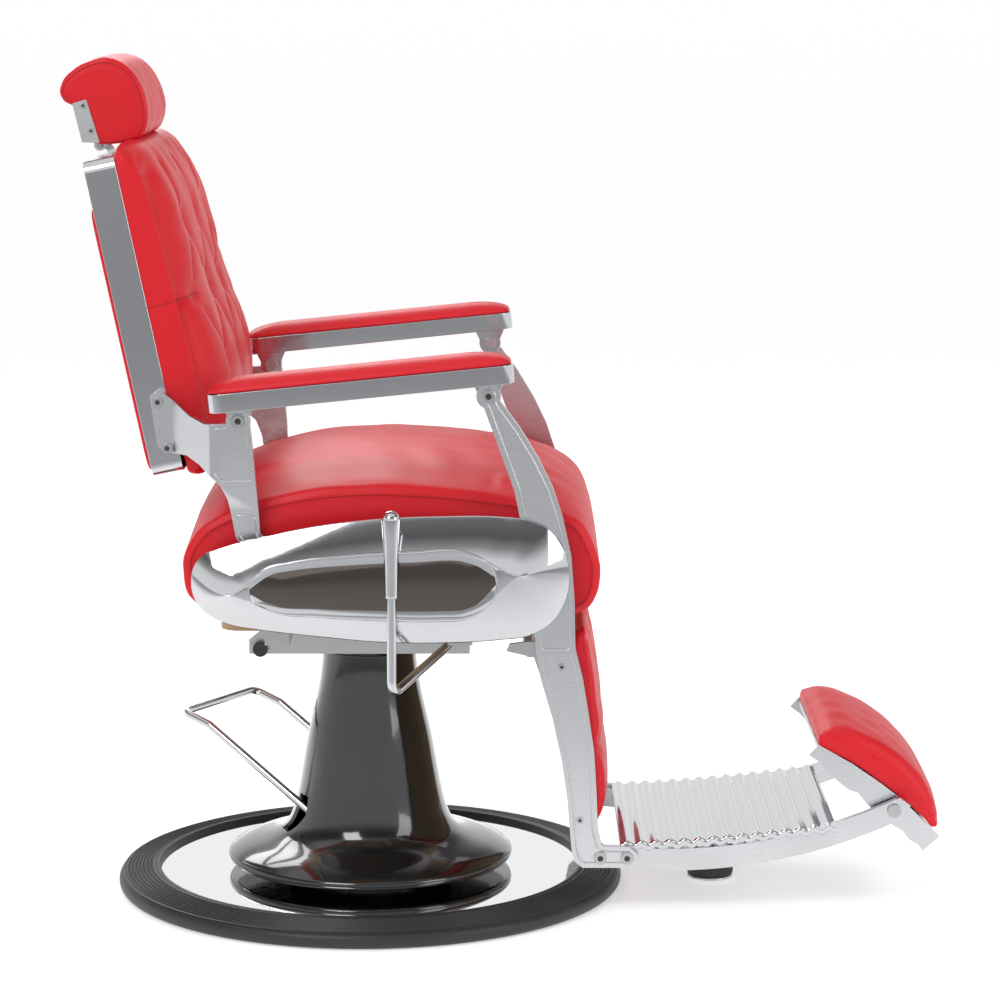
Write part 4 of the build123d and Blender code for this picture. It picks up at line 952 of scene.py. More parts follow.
LEAN = math.radians(11.7)
BACK_CORNER = np.array([-249.6, 564.0])
BACK_UP = np.array([-math.sin(LEAN), math.cos(LEAN)])
BACK_FORWARD = np.array([math.cos(LEAN), math.sin(LEAN)])


def leaning(places: "list[tuple[float, float]]") -> "list[tuple[float, float]]":
    """Places in the chair's (X, Z) from depths and heights along the leaning back."""
    return [tuple(BACK_CORNER + BACK_FORWARD * depth + BACK_UP * height) for depth, height in places]


@dataclass
class Base:
    """Round base: ribbed rubber rim, mirror disc, black cone."""

    rim_radius: float = 325.0
    disc_radius: float = 271.0
    edge_radius: float = 9.0
    outer_height: float = 20.5
    inner_height: float = 28.0
    ribs: int = 9
    rib_height: float = 1.1

    def rim(self) -> bpy.types.Object:
        """Rubber rim: a turned profile whose sloping top carries a sine of ribs."""
        shoulder = self.rim_radius - self.edge_radius
        slope = np.linspace(0, 1, 150)
        fade = np.clip(slope * 8, 0, 1) * np.clip((1 - slope) * 8, 0, 1)
        rib = self.rib_height * np.sin(slope * self.ribs * 2 * np.pi) * fade
        top = np.stack([np.interp(slope, (0, 1), (shoulder + 4, self.disc_radius + 7)),
                        np.interp(slope, (0, 1), (self.outer_height, self.inner_height)) + rib], axis=1)
        turn = np.linspace(-np.pi / 2, np.pi / 2.4, 16)
        edge = np.stack([shoulder + self.edge_radius * np.cos(turn), 10.0 + 10.0 * np.sin(turn)], axis=1)
        bead = np.linspace(np.pi * 0.1, np.pi, 8)
        lip = np.stack([self.disc_radius + 3.5 + 3.5 * np.cos(bead), 26.0 + 2.5 * np.sin(bead)], axis=1)
        foot = np.array([[self.disc_radius, 22.0], [self.disc_radius, 2.0], [self.disc_radius + 1, 0.2]])
        return lathe("rubber_rim_ribbed", np.vstack([foot, edge, top, lip]) * MM, (0, 0, 0), 192)

    def build(self, dresser: Dresser) -> None:
        """Make and dress the base."""
        dresser.add(self.rim(), "base", "rubber", "rubber", ("rubber_rim",))
        lip = np.array([[61.5, 306.0], [60.0, 307.6], [56.0, 308.0], [52.0, 307.2], [52.0, 305.8],
                        [57.0, 305.6]])
        dresser.add(lathe("cone_top_lip", lip * MM, (0, 0, 0), 96), "base", "gloss_black", "gloss_black")


@dataclass
class Seat:
    """Seat cushion, convex chrome side covers with smoked windows."""

    half_width: float = 262.0

    def cushion(self) -> PadShape:
        """The seat cushion's shape."""
        outline = [(30, 396), (-160, 399), (-190, 408), (-208, 424), (-213.5, 453), (-211, 489),
                   (-198, 517), (-172, 541), (-138, 557), (-81, 573), (-4, 582), (72, 580.5), (148, 573),
                   (206, 563), (243, 548), (270, 526), (284, 494), (289, 455), (285, 425), (275, 408),
                   (256, 399)]
        return PadShape("seat_cushion_leather", outline[::-1], self.half_width, corner=8.0, crown=26.0,
                        side_bulge=2.5, groove=1.8, crown_power=2.6, corner_rear=1.0,
                        spine=((-120.0, 470.0), (0.0, 478.0), (195.0, 470.0)))

    def relief(self, x: np.ndarray, y: np.ndarray, z: np.ndarray, facing: np.ndarray) -> np.ndarray:
        """Soft hollow where a sitter presses and fine tension folds near the front edge.

        Args:
            x: places along the chair in millimetres.
            y: places across.
            z: heights; not used.
            facing: each outline point's outward normal.
        Returns:
            Outward push in millimetres.
        """
        up = np.clip(facing[:, 1], 0, 1)[:, None]
        dish = -2.5 * np.exp(-((x - 20) / 120) ** 2 - (np.abs(y) / 150) ** 4)
        folds = 0.9 * soft_noise(x, y, 85.0, SEED) * up
        ends = np.exp(-((np.abs(y) - 205) / 45) ** 2)
        pulls = 0.7 * np.sin(x / 5.2 + soft_noise(x, y, 60.0, SEED + 1) * 2.0) * ends * up \
            * np.exp(-((x - 190) / 50) ** 2)
        return dish * up + folds + pulls

    def cover(self, side: Side) -> "list[bpy.types.Object]":
        """Chrome cover and window of one side: the outline swells outwards, drawn in towards the window.

        Args:
            side: the side of the chair.
        Returns:
            The cover and its window.
        """
        rim = [(-200, 448), (-196, 467), (-185, 480), (-166, 488), (-151, 493), (-116, 501.5), (-45, 515.5),
               (26, 523.5), (97, 526.5), (168, 526), (203, 522), (226, 511), (242, 490), (251, 450),
               (245, 421), (228, 396), (203, 382), (168, 377), (96, 373), (25, 374), (-46, 380.5),
               (-117, 389), (-160, 397.5), (-184, 411), (-197, 429)]
        opening = [(-111, 467.5), (-122, 458), (-128, 443), (-123.5, 428), (-106, 417), (-45, 409), (26, 405),
                   (97, 404), (126, 406), (151, 419), (163, 445), (153, 475), (126, 489), (61.5, 489),
                   (-9, 485), (-80, 476)]
        outer = curve_through(rim[::-1], 360)
        inner = curve_through(opening[::-1], 360)
        start = np.argmin(np.hypot(*(inner - outer[0]).T))
        inner = np.roll(inner, -start, axis=0)
        gap = inner - outer

        def layer(share: float, y: float) -> np.ndarray:
            """One loop of the cover between its outer edge and its window."""
            flat = outer + gap * share
            return np.stack([flat[:, 0], np.full(len(flat), side.value * y), flat[:, 1]], axis=1)

        def rise(share: float) -> float:
            """Part of the cover's height at a share of the way to the window."""
            return 1 - (1 - share) ** 2.6

        swell = [(w, 300.0 + 26.0 * rise(w)) for w in np.linspace(0, 0.93, 22) ** 1.5]
        lip = [(0.95, 326.6), (0.975, 326.9), (0.99, 326.6), (1.0, 326.0), (1.0, 323.6), (0.9, 323.0)]
        back = [(w, 298.2 + 24.0 * rise(w)) for w in np.linspace(0.8, 0.05, 9)]
        loops = [layer(w, y) for w, y in swell + lip + back] + [layer(0.02, 300.2)]
        shell = face_outwards(put_mesh(f"{side.label}_cover_shell", np.vstack(loops) * MM,
                                       grid_faces(len(loops), len(outer), True, True)))
        snapped = np.round(np.clip(inner[:, 0], -84, 118) / 6) * 6
        spine = np.stack([snapped, 443 + 0.02 * snapped], axis=1)
        layers = [(1, 322.6), (0.0, 322.6), (0.0, 324.6)]
        layers += [(w, 324.6 + 2.8 * math.sin(w * math.pi / 2)) for w in np.linspace(0.02, 1, 14)]

        def place(p: np.ndarray) -> np.ndarray:
            """Window layers stand across the chair."""
            return np.stack([p[:, 0], side.value * p[:, 2], p[:, 1]], axis=1)

        return [shell, domed(f"{side.label}_cover_window", inner, spine, layers, place)]

    def build(self, dresser: Dresser) -> None:
        """Make and dress the seat's soft and bright pieces."""
        pad = self.cushion()
        dresser.pad(pad.build(self.relief), "seat", "seat_cushion")
        stitches = [stitch_row(f"seat_stitches_{side.label}", pad.seam_line(side.value, 2.2, 0.6))
                    for side in Side]
        dresser.add(joined("seat_seam_stitches", stitches), "seat", "stitch", "red_leather")
        for side in Side:
            shell, window = self.cover(side)
            dresser.add(shell, "seat", "chrome", "chrome", (f"{side.label}_side_cover",))
            dresser.add(window, "seat", "smoked_mirror", "smoked_mirror",
                        ("cover_windows",) if side is Side.LEFT else ())


@dataclass
class Back:
    """Tufted back cushion and padded rear panel."""

    half_width: float = 236.0
    seam_height: float = 201.0
    panel_width: float = 452.0
    panel_height: float = 322.0

    def outline(self) -> "list[tuple[float, float]]":
        """Side outline of the cushion, from depth and height along the back."""
        return leaning([(38.5, 4), (40, -6), (52, -13), (70, -8), (90, 16), (103, 46), (110.5, 76),
                        (113.5, 104), (111.5, 140), (106, 181), (101.5, 219), (99.5, 265), (95, 315),
                        (83, 362), (69, 387), (55, 396.5), (43, 397), (37.5, 391)])

    def tufting(self) -> Tufting:
        """Staggered net of tufts over the front, joined by slanting folds that run out to the edges."""
        rows = {112.0: (-132.0, 0.0, 132.0), 203.0: (-192.0, -66.0, 66.0, 192.0),
                290.0: (-132.0, 0.0, 132.0)}
        heights = sorted(rows)
        tufts = [(u, v) for v in heights for u in rows[v]]
        folds = [((u, low), (w, high)) for low, high in zip(heights, heights[1:]) for u in rows[low]
                 for w in rows[high] if abs(u - w) < 100]
        folds += [((u, heights[0]), (u, -5.0)) for u in rows[heights[0]]]
        folds += [((u, heights[-1]), (u, 360.0)) for u in rows[heights[-1]]]
        folds += [((s * 192.0, 203.0), (s * 240.0, 200.0)) for s in (-1, 1)]
        return Tufting(tufts, folds)

    def relief(self, x: np.ndarray, y: np.ndarray, z: np.ndarray, facing: np.ndarray) -> np.ndarray:
        """Tufting on the front face, fading over the top and bottom edges.

        Args:
            x: places along the chair in millimetres.
            y: places across.
            z: heights.
            facing: each outline point's outward normal.
        Returns:
            Outward push in millimetres.
        """
        height = (x - BACK_CORNER[0]) * BACK_UP[0] + (z - BACK_CORNER[1]) * BACK_UP[1]
        front = np.clip((facing @ BACK_FORWARD - 0.15) / 0.35, 0, 1)[:, None]
        front = front * front * (3 - 2 * front)
        return (self.tufting().push(y, height) + 0.9 * soft_noise(y, height, 70.0, SEED + 3)) * front

    def build(self, dresser: Dresser) -> None:
        """Make and dress the back."""
        pad = PadShape("back_cushion_leather", self.outline()[::-1], self.half_width, corner=58.0, crown=6.0,
                       side_bulge=2.5, around=420, across=300, crown_way=tuple(BACK_FORWARD), groove=0.0,
                       corner_rear=0.12, corner_power=2.2,
                       spine=tuple(leaning([(66, 34), (68, 110), (66, 220), (62, 350)])))
        cushion = pad.build(self.relief)
        dresser.pad(cushion, "back", "back_cushion", 0.8)
        seams = [self.side_seam(cushion, side) for side in Side]
        dresser.add(joined("back_side_seams", seams), "back", "stitch", "red_leather")
        dresser.pad(self.rear_panel(), "back", "back_rear_panel", 0.4)

    def side_seam(self, cushion: bpy.types.Object, side: Side) -> bpy.types.Object:
        """Level seam across one side of the cushion: a thread laid on it from outside.

        Args:
            cushion: the back cushion.
            side: the side of the chair.
        Returns:
            The thread.
        """
        depth = np.linspace(37.0, 95.0, 60)[:, None]
        rise = self.seam_height + 0.03 * (depth - 37)
        flat = BACK_CORNER + BACK_FORWARD * depth + BACK_UP * rise
        outside = np.stack([flat[:, 0], np.full(len(flat), side.value * 300.0), flat[:, 1]], axis=1) * MM
        return tube(f"back_seam_{side.value}", laid_on(cushion, outside, (0, -side.value, 0)), 0.0006, 6)

    def rear_panel(self) -> bpy.types.Object:
        """Low padded panel on the back frame's rear face."""
        plan = lozenge(self.panel_width, self.panel_height, 12.0)
        spine = np.stack([np.round(np.clip(plan[:, 0], -150, 150) / 10) * 10, np.zeros(len(plan))], axis=1)
        layers = [(1, 0.2), (0.0, 0.2), (0.0, 3.0), (0.008, 4.6), (0.03, 5.6), (0.07, 6.2), (0.3, 7.0),
                  (1, 7.6)]

        def place(p: np.ndarray) -> np.ndarray:
            """The panel stands on the frame's rear face."""
            along = (p[:, 1] + 167.0)[:, None] * BACK_UP[None] - p[:, 2][:, None] * BACK_FORWARD[None]
            return np.stack([BACK_CORNER[0] + along[:, 0], p[:, 0], BACK_CORNER[1] + along[:, 1]], axis=1)

        return domed("rear_panel_leather", plan, spine, layers, place)


@dataclass
class Headrest:
    """Headrest pad with seamed side panels."""

    half_width: float = 111.0

    def build(self, dresser: Dresser) -> None:
        """Make and dress the headrest."""
        outline = [(-326, 958), (-337, 961), (-346, 985), (-354, 1003), (-364, 1008.5), (-370, 1020),
                   (-365.5, 1035), (-350, 1050), (-335, 1058), (-314, 1063), (-297, 1059), (-283, 1049),
                   (-271.5, 1032), (-265, 1013), (-262.5, 995), (-264, 980), (-272, 967), (-290, 959.5),
                   (-310, 956.5)]
        pad = PadShape("headrest_leather", outline, self.half_width, corner=3.5, crown=1.5, side_bulge=0.8,
                       around=220, across=90, groove=1.4,
                       spine=((-340.0, 1028.0), (-310.0, 1025.0), (-300.0, 990.0)))
        piece = pad.build(lambda x, y, z, facing: 0.8 * soft_noise(x + z, y, 60.0, SEED + 5))
        dresser.pad(piece, "headrest", "headrest_cushion", 0.85)
        rows = [stitch_row(f"headrest_stitches_{side.label}", pad.seam_line(side.value, 2.0, 0.5),
                           pitch=0.005, length=0.0032) for side in Side]
        dresser.add(joined("headrest_seam_stitches", rows), "headrest", "stitch", "red_leather")


@dataclass
class Armrest:
    """Crowned arm pad on its rail."""

    side: Side
    length: float = 357.0
    width: float = 66.0
    corner: float = 17.0
    thickness: float = 16.0
    centre: "tuple[float, float]" = (5.5, 671.75)
    rail_run: float = 359.0
    rail_rise: float = 36.5
    rail_top: float = 22.05
    offset: float = 305.0

    def build(self, dresser: Dresser) -> None:
        """Make and dress one armrest pad."""
        plan = lozenge(self.length, self.width, self.corner)
        reach = self.length / 2 - 62.0
        spine = np.stack([np.round(np.clip(plan[:, 0], -reach, reach) / 6) * 6, np.zeros(len(plan))], axis=1)
        shares = np.linspace(0.0, 1.0, 18)[1:] ** 1.4
        dome = [(w, self.thickness * (1 - (1 - w) ** 2.3) ** 0.62) for w in shares]
        layers = [(1, 0.1), (0.05, 0.1), (0.0, 0.8), (0.0, 2.0)] + [(w, 2.0 + h * 0.875) for w, h in dome]
        slope = math.atan2(self.rail_rise, self.rail_run)
        along = np.array([math.cos(slope), math.sin(slope)])
        up = np.array([-math.sin(slope), math.cos(slope)])

        def place(p: np.ndarray) -> np.ndarray:
            """The pad lies on the sloping rail."""
            flat = np.array(self.centre) + p[:, :1] * along + (p[:, 2:] + self.rail_top) * up
            return np.stack([flat[:, 0], self.side.value * (self.offset + p[:, 1]), flat[:, 1]], axis=1)

        name = self.side.label
        pad = domed(f"{name}_arm_leather", plan, spine, layers, place)
        dresser.pad(pad, f"{name}_arm", f"{name}_arm_pad", 0.9)


@dataclass
class Footrest:
    """Calf pad, flip footpad cushion, corrugated plate and bumper foot."""

    tuft_heights: "tuple[float, float, float]" = (286.0, 212.0, 362.0)
    bumper_at: "tuple[float, float, float]" = (0.441, 0.0, 0.0)
    bumper_ribs: int = 48
    plate_start: float = 318.0
    plate_length: float = 270.0
    plate_waves: int = 15
    wave_height: float = 2.1
    plate_gauge: float = 1.6

    def calf(self) -> PadShape:
        """The calf pad's shape."""
        outline = [(259.6, 352), (264, 359), (274, 362.5), (283, 347), (288, 323), (294, 282), (298, 245),
                   (301.5, 211), (305.5, 171), (305.5, 146.5), (299, 122), (290, 107), (278, 101.5),
                   (276.2, 112), (268, 232)]
        return PadShape("calf_pad_leather", outline[::-1], 155.5, corner=10.0, crown=8.0, side_bulge=1.0,
                        around=300, across=200, crown_way=(1.0, 0.0), groove=1.2,
                        spine=((272.0, 345.0), (278.0, 290.0), (284.0, 212.0), (289.0, 150.0),
                               (288.0, 118.0)))

    def calf_relief(self, x: np.ndarray, y: np.ndarray, z: np.ndarray, facing: np.ndarray) -> np.ndarray:
        """Tufts in two rows, folds that spread to the top, and one level seam.

        Args:
            x: places along the chair in millimetres; not used.
            y: places across.
            z: heights.
            facing: each outline point's outward normal.
        Returns:
            Outward push in millimetres.
        """
        high, low, top = self.tuft_heights
        folds = [((-156.0, low), (156.0, low))]
        for side in (-1, 1):
            tuft = (side * 75.0, high)
            folds += [(tuft, (0.0, low)), (tuft, (side * 150.0, low)), (tuft, (side * 120.0, top)),
                      (tuft, (side * 30.0, top))]
        tufts = [(-75.0, high), (75.0, high), (-150.0, low), (0.0, low), (150.0, low)]
        net = Tufting(tufts, folds, depth=9.0, fold_depth=4.5, dimple=11.0, fold_width=4.0)
        front = np.clip((facing[:, 0] - 0.15) / 0.35, 0, 1)[:, None]
        return (net.push(y, z) + 0.5 * soft_noise(y, z, 60.0, SEED + 7)) * front

    def footpad(self) -> PadShape:
        """The footpad cushion's shape."""
        outline = [(566, 213.5), (600, 193.5), (632, 172), (660, 151.5), (683, 132.5), (700, 116.5),
                   (712, 104.5), (718, 105.5), (721, 116), (718.5, 135), (710, 156), (696, 176), (669, 202),
                   (635, 221.5), (603, 233), (582, 232), (568, 223)]
        return PadShape("footpad_leather", outline, 137.0, corner=17.0, crown=7.0, side_bulge=0.4,
                        around=240, across=120, crown_way=(0.6, 0.8), groove=0.0, corner_rear=0.0,
                        corner_power=1.6,
                        spine=((582.0, 217.0), (640.0, 185.0), (684.0, 149.0), (708.0, 120.0)))

    def bumper(self, dresser: Dresser) -> None:
        """Knurled foot with a bright lip: a turned wall whose radius is a wave of ribs."""
        profile = np.array([[0.2, 7.5], [24.0, 7.0], [27.5, 8.0], [29.2, 10.5], [29.6, 18.0], [28.0, 22.5],
                            [24.0, 24.0], [9.2, 24.2], [9.0, 79.8], [0.2, 80.0]])
        dense = np.vstack([profile[:1]] + [np.linspace(a, b, 4)[1:] for a, b in zip(profile, profile[1:])])
        angle = np.linspace(0, 2 * np.pi, 288, endpoint=False)[:, None]
        near_wall = np.clip((dense[:, 0] - 24) / 4, 0, 1)[None, :]
        wave = 1 + 0.018 * np.sin(self.bumper_ribs * angle) * near_wall
        body = lathe("bumper_knurled", dense * MM, self.bumper_at, 288, wave)
        dresser.add(body, "leg", "black_plastic", "black_plastic", ("bumper_foot",))
        lip = np.array([[0.2, 4.0], [27.0, 4.0], [30.2, 5.0], [30.6, 7.0], [29.4, 8.4], [24.0, 8.8],
                        [0.2, 8.8]])
        dresser.add(lathe("bumper_lip", lip * MM, self.bumper_at, 96), "leg", "chrome", "chrome")

    def plate(self) -> bpy.types.Object:
        """Corrugated sheet: a gentle rise plus a cosine along it, with turned-down side edges."""
        x = np.linspace(self.plate_start, self.plate_start + self.plate_length, 301)
        run = (x - self.plate_start) / self.plate_length
        height = 88.6 + 24.0 * run ** 1.6 - self.wave_height * np.cos(2 * np.pi * self.plate_waves * run)
        edge_across = np.array([147.5, 151.0, 154.0, 156.2, 157.6, 158.2, 158.2])
        edge_drop = np.array([0.0, 0.0, 0.0, 0.3, 1.4, 3.4, 9.5])
        y = np.concatenate([-edge_across[::-1], np.linspace(-140, 140, 40), edge_across])
        fall = np.concatenate([edge_drop[::-1], np.zeros(40), edge_drop])
        level = np.where(np.abs(y) > 157, 0.0, 1.0)
        shape = (len(x), len(y))
        outer = np.stack([np.broadcast_to(x[:, None], shape), np.broadcast_to(y, shape),
                          height[:, None] + 1.4 - fall[None]], axis=2)
        thin = self.plate_gauge * np.stack([np.zeros(len(y)), np.sign(y) * (1 - level), level], axis=1)
        inner = outer - thin[None]
        grid = np.concatenate([outer, inner[:, ::-1]], axis=1)
        sheet = put_mesh("foot_plate_sheet", grid.reshape(-1, 3) * MM,
                         grid_faces(len(x), 2 * len(y), False, True))
        return sealed(sheet)

    def build(self, dresser: Dresser) -> None:
        """Make and dress the footrest's pieces."""
        dresser.add(self.plate(), "leg", "chrome", "chrome", ("foot_plate",))
        dresser.pad(self.calf().build(self.calf_relief), "leg", "calf_pad", 0.8)
        pad = self.footpad()
        cushion = pad.build(lambda x, y, z, facing: 0.6 * soft_noise(x - z, y, 70.0, SEED + 9))
        dresser.pad(cushion, "footpad", "footpad_cushion", 0.8)
        self.bumper(dresser)


@dataclass
class Lever:
    """Grip of the recline lever."""

    centre: "tuple[float, float, float]" = (0.040, -0.345, 0.0)
    top_radius: float = 11.0
    dome_height: float = 529.5

    def build(self, dresser: Dresser) -> None:
        """Tapered chrome grip: a turned profile that widens upwards and ends in a low dome."""
        turn = np.linspace(0, np.pi / 2, 9)
        dome = np.stack([self.top_radius * np.cos(turn) + 0.05,
                         self.dome_height + self.top_radius * np.sin(turn)], axis=1)
        stem = np.array([[5.6, 436.0], [7.4, 436.2], [8.1, 437.5], [8.0, 440.0], [8.7, 470.0], [9.8, 505.0]])
        profile = np.vstack([stem, dome, [[0.05, 520.0], [5.6, 519.0]]])
        grip = lathe("lever_grip_turned", profile * MM, self.centre, 48)
        dresser.add(grip, "lever", "chrome", "chrome", ("lever_grip",))


@dataclass
class Castings:
    """Metal pieces that keep their CAD shape: rounded edges, borders and their finish."""

    socket_share: float = 0.5
    broad: float = 0.0012
    level_step: float = 0.0005
    bead_radius: float = 0.0011
    insets: tuple = (("right_leg_frame", 6.5), ("left_leg_frame", 6.5), ("right_back_bracket", 5.5),
                     ("left_back_bracket", 5.5))
    socketed: tuple = ("bracket_screws", "headrest_screws", "footrest_bolts", "front_arm_pins",
                       "rear_arm_pins")
    rounded: tuple = (
        (1.8, ("right_arm_rail", "left_arm_rail")),
        (1.6, ("back_frame",)),
        (1.3, ("right_back_bracket", "left_back_bracket")),
        (1.2, ("foot_rails",)),
        (1.1, ("right_leg_frame", "left_leg_frame")),
        (0.8, ("seat_cross_bars",)),
        (0.7, ("footpad_frame", "seat_plate")),
        (0.6, ("seat_side_plates", "leg_crank", "base_bolts", "footpad_shaft", "tube_caps")),
        (0.5, ("bracket_screws", "footrest_bolts", "rear_arm_pins", "front_arm_pins", "headrest_bar")),
        (0.4, ("headrest_bracket", "headrest_pin")),
        (0.3, ("headrest_screws",)),
    )

    def islands(self, node: str) -> "list[np.ndarray]":
        """Vertices in millimetres of each separate solid of a CAD node."""
        work = merged_copy(node)
        left, groups = set(work.verts), []
        while left:
            stack, group = [left.pop()], []
            while stack:
                vert = stack.pop()
                group.append(list(vert.co))
                for edge in vert.link_edges:
                    other = edge.other_vert(vert)
                    if other in left:
                        left.remove(other)
                        stack.append(other)
            groups.append(np.array(group) / MM)
        work.free()
        return groups

    def sockets(self, node: str) -> bpy.types.Object:
        """Six-sided dark patches on the outer heads of a node's screws: painted shade where each screw's
        socket recess is.

        Args:
            node: the CAD node that holds the screws.
        Returns:
            All the painted socket shade patches as one piece.
        """
        pieces = []
        for index, solid in enumerate(self.islands(node)):
            side = 1 if solid[:, 1].mean() > 0 else -1
            face = (side * solid[:, 1]).max()
            head = solid[side * solid[:, 1] > face - 0.4]
            x, z = (head[:, 0].max() + head[:, 0].min()) / 2, (head[:, 2].max() + head[:, 2].min()) / 2
            radius = self.socket_share * (head[:, 0].max() - head[:, 0].min()) / 2
            turn = np.linspace(0, 2 * np.pi, 6, endpoint=False) + 0.3
            # A shallow near-black hexagon on the head face, from just inside it to just proud of it: painted
            # shade in place of a real socket recess.
            rings = [np.stack([x + radius * scale * np.cos(turn), np.full(6, side * (face + lift)),
                               z + radius * scale * np.sin(turn)], axis=1)
                     for scale, lift in ((0.02, -0.3), (1.0, -0.3), (1.0, 0.12), (0.02, 0.12))]
            pieces.append(sealed(put_mesh(f"{node}_socket_{index}", np.vstack(rings) * MM,
                                          grid_faces(4, 6, False, True), False)))
        return joined(f"{node}_sockets", pieces)

    def rims(self, faces: list) -> "list[np.ndarray]":
        """Closed outlines round a patch of faces.

        Args:
            faces: the patch's faces.
        Returns:
            The (X, Z) places of each outline in millimetres, short ones left out.
        """
        chosen = set(faces)
        follow: dict = {}
        for face in faces:
            for edge in face.edges:
                if sum(other in chosen for other in edge.link_faces) == 1:
                    one, two = edge.verts
                    follow.setdefault(one, []).append(two)
                    follow.setdefault(two, []).append(one)
        loops = []
        while follow:
            start = next(iter(follow))
            loop, at = [start], start
            while follow.get(at):
                step = follow[at].pop()
                if at in follow.get(step, []):
                    follow[step].remove(at)
                at = step
                loop.append(at)
            follow = {vert: others for vert, others in follow.items() if others}
            if len(loop) > 8:
                loops.append(np.array([[v.co.x, v.co.z] for v in loop[:-1]]) / MM)
        return loops

    def borders(self, node: str, inset: float) -> bpy.types.Object:
        """Raised bead a set distance inside the rim of each broad outer face.

        Args:
            node: the CAD node.
            inset: the distance in millimetres.
        Returns:
            All beads as one piece.
        """
        work = merged_copy(node)
        levels: "dict[tuple, list]" = {}
        for face in work.faces:
            middle = face.calc_center_median()
            if face.normal.y * math.copysign(1, middle.y) > 0.999:
                levels.setdefault((round(middle.y / self.level_step), middle.y > 0), []).append(face)
        beads = []
        for (level, _), faces in levels.items():
            if sum(face.calc_area() for face in faces) < self.broad:
                continue
            loops = self.rims(faces)
            if not loops:
                continue
            outline = max(loops, key=lambda loop: np.ptp(loop[:, 0]) * np.ptp(loop[:, 1]))
            path = self.drawn_in(outline, inset)
            if path is not None:
                height = level * self.level_step + math.copysign(0.0002, level)
                line = np.stack([path[:, 0] * MM, np.full(len(path), height), path[:, 1] * MM], axis=1)
                beads.append(tube(f"{node}_bead_{level}", line, self.bead_radius, 8, True))
        work.free()
        return joined(f"{node}_borders", beads)

    def drawn_in(self, outline: np.ndarray, inset: float) -> "np.ndarray | None":
        """Closed outline moved inwards, with the loops that form at tight corners left out.

        Args:
            outline: (n, 2) places in millimetres.
            inset: the distance.
        Returns:
            The moved outline, or nothing where it leaves no room.
        """
        dense = np.vstack([np.linspace(a, b, max(2, int(np.hypot(*(b - a)) / 1.5)), endpoint=False)
                           for a, b in zip(outline, np.roll(outline, -1, axis=0))])
        moved = dense + inward(dense) * inset
        away = np.array([np.hypot(*(dense - place).T).min() for place in moved])
        kept = moved[away > inset - 0.15]
        if len(kept) < 20:
            return None
        for _ in range(4):
            kept = 0.25 * np.roll(kept, 1, axis=0) + 0.5 * kept + 0.25 * np.roll(kept, -1, axis=0)
        return kept

    def build(self, dresser: Dresser) -> None:
        """Round, border and dress the metal pieces."""
        finish_of = {entry["node"]: entry["material_slot"] for entry in frame["record"]["subparts"]}
        bodies = frame["record"]["behaviour"]["bodies"]
        body_of = {node: body for body, nodes in bodies.items() for node in nodes}
        for width, nodes in self.rounded:
            for node in nodes:
                dresser.add(bevelled(node, width), body_of[node], finish_of[node], finish_of[node], (node,))
        for node, inset in self.insets:
            dresser.add(self.borders(node, inset), body_of[node], "satin_aluminium")
        # The dark_iron patches on the screw heads are painted shade standing in for the socket recesses.
        for node in self.socketed:
            dresser.add(self.sockets(node), body_of[node], "dark_iron")
        for node, slot in finish_of.items():
            if not frame["nodes"][node].hide_render:
                dresser.paint(frame["nodes"][node], slot)


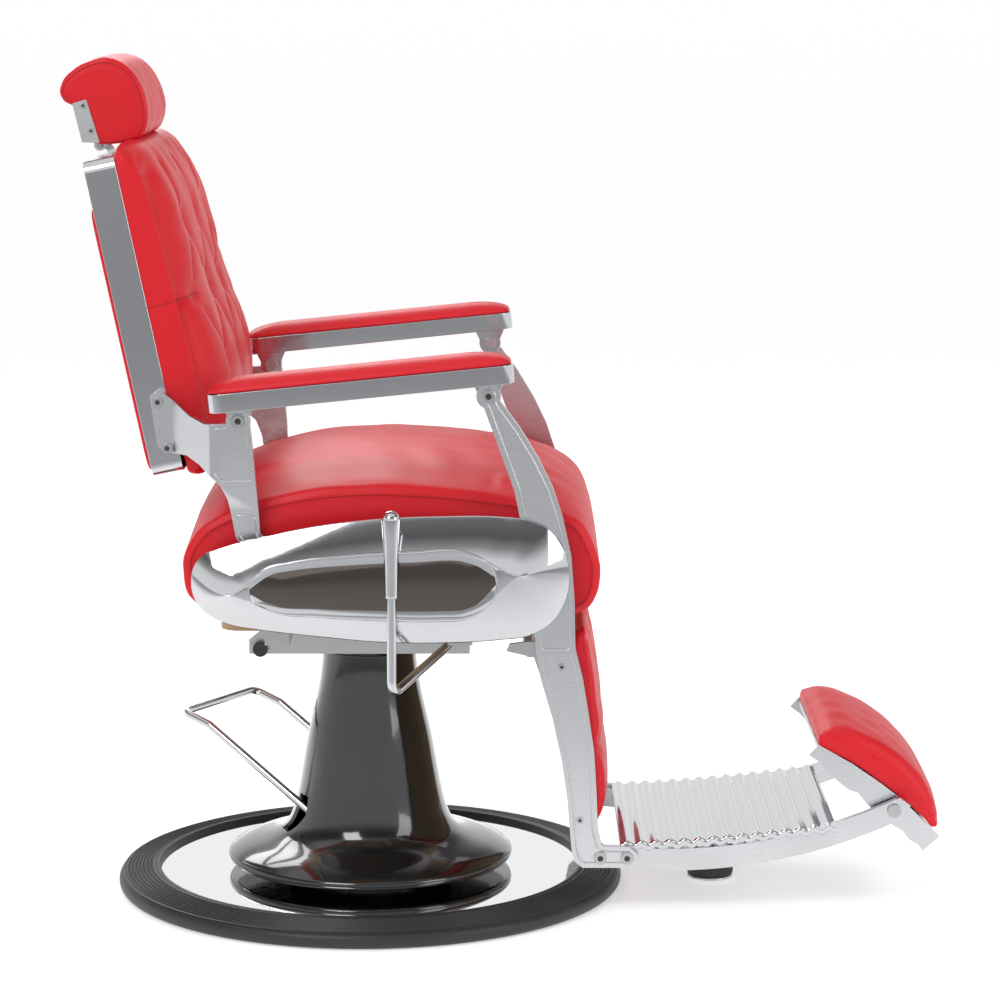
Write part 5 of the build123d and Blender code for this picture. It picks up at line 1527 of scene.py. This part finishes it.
@dataclass
class Studio:
    """Pale floor, soft lights and the camera."""

    camera_at: "tuple[float, float, float]" = (0.168, -4.190, 1.162)
    tilt: float = 0.157
    lens: float = 119.5
    sensor: float = 36.0
    floor_reach: float = 30.0
    floor_drop: float = 0.0006
    aim: "tuple[float, float, float]" = (0.1, 0.0, 0.5)
    floor_shades: tuple = ((0.06, (0.46, 0.465, 0.475, 1)), (0.30, (0.50, 0.505, 0.515, 1)),
                           (0.38, (0.58, 0.585, 0.59, 1)), (0.45, (0.88, 0.88, 0.88, 1)))
    floor_glows: tuple = ((0.10, (0.06, 0.06, 0.06, 1)), (0.36, (0.12, 0.12, 0.125, 1)),
                          (0.45, (0.44, 0.44, 0.44, 1)))
    sky_shades: tuple = ((0.0, 0.9), (0.50, 1.0), (0.66, 0.92), (0.72, 0.35), (0.78, 0.13), (0.86, 0.20),
                         (0.91, 0.85), (1.0, 1.0))
    lamps: tuple = (("key_light", (-1.6, -3.0, 3.2), 60.0, 1.6, 1.6),
                    ("fill_light", (3.2, -2.2, 2.0), 30.0, 1.4, 2.2),
                    ("back_light", (-1.0, 3.2, 2.6), 45.0, 2.4, 1.4))

    def camera(self) -> None:
        """Stand the camera level with the seat's side, looking along +Y and a little down."""
        camera = bpy.data.cameras.new("camera")
        camera.lens = self.lens
        camera.sensor_width = self.sensor
        view = bpy.data.objects.new("camera", camera)
        view.location = self.camera_at
        view.rotation_euler = (math.pi / 2 - self.tilt, 0.0, 0.0)
        bpy.context.scene.collection.objects.link(view)
        bpy.context.scene.camera = view

    def floor(self) -> None:
        """Lay the floor, white behind the chair and greyer in front, which the bright metal reflects."""
        corners = np.array([[-1, -1, 0], [1, -1, 0], [1, 1, 0], [-1, 1, 0]]) * self.floor_reach
        corners[:, 2] -= self.floor_drop
        floor = put_mesh("floor", corners, [[0, 1, 2, 3]], False)
        ground = Shader("floor_white")
        depth = ground.node("ShaderNodeSeparateXYZ", 1, Vector=ground.place) * 0.1 + 0.5
        ground.set(Base_Color=ground.ramp(depth, *self.floor_shades), Roughness=0.7,
                   Emission_Color=ground.ramp(depth, *self.floor_glows), Emission_Strength=1.0)
        floor.data.materials.append(ground.material)

    def sky(self) -> None:
        """Light the room all round, with a dark band above the chair for the bright metal."""
        world = bpy.data.worlds.new("studio")
        bpy.context.scene.world = world
        world.use_nodes = True
        room = Nodes(world.node_tree)
        way = room.node("ShaderNodeTexCoord", "Generated")
        height = room.node("ShaderNodeSeparateXYZ", 2, Vector=way) * 0.5 + 0.5
        background = world.node_tree.nodes["Background"]
        room.feed(background.inputs["Color"], room.ramp(height, *self.sky_shades))
        room.feed(background.inputs["Strength"], 1.0)

    def lights(self) -> None:
        """Hang the soft lights, each turned to the chair."""
        for name, place, power, width, tall in self.lamps:
            lamp = bpy.data.lights.new(name, "AREA")
            lamp.shape, lamp.size, lamp.size_y, lamp.energy = "RECTANGLE", width, tall, power
            light = bpy.data.objects.new(name, lamp)
            light.location = place
            aim = np.array(self.aim) - np.array(place)
            light.rotation_euler = (math.acos(-aim[2] / np.linalg.norm(aim)), 0.0,
                                    math.atan2(aim[1], aim[0]) - math.pi / 2)
            bpy.context.scene.collection.objects.link(light)

    def build(self) -> None:
        """Set up the stage."""
        self.camera()
        self.floor()
        self.sky()
        self.lights()
        bpy.context.scene.view_settings.view_transform = "Standard"


def main() -> None:
    """Build the chair's visible pieces in order and report each."""
    logging.basicConfig(level=logging.INFO, format="%(message)s")
    dresser = Dresser(make_finishes())
    Studio().build()
    for part in (Base(), Seat(), Back(), Headrest(), Armrest(Side.RIGHT), Armrest(Side.LEFT), Footrest(),
                 Lever(), Castings()):
        part.build(dresser)


if __name__ == "__main__":
    main()
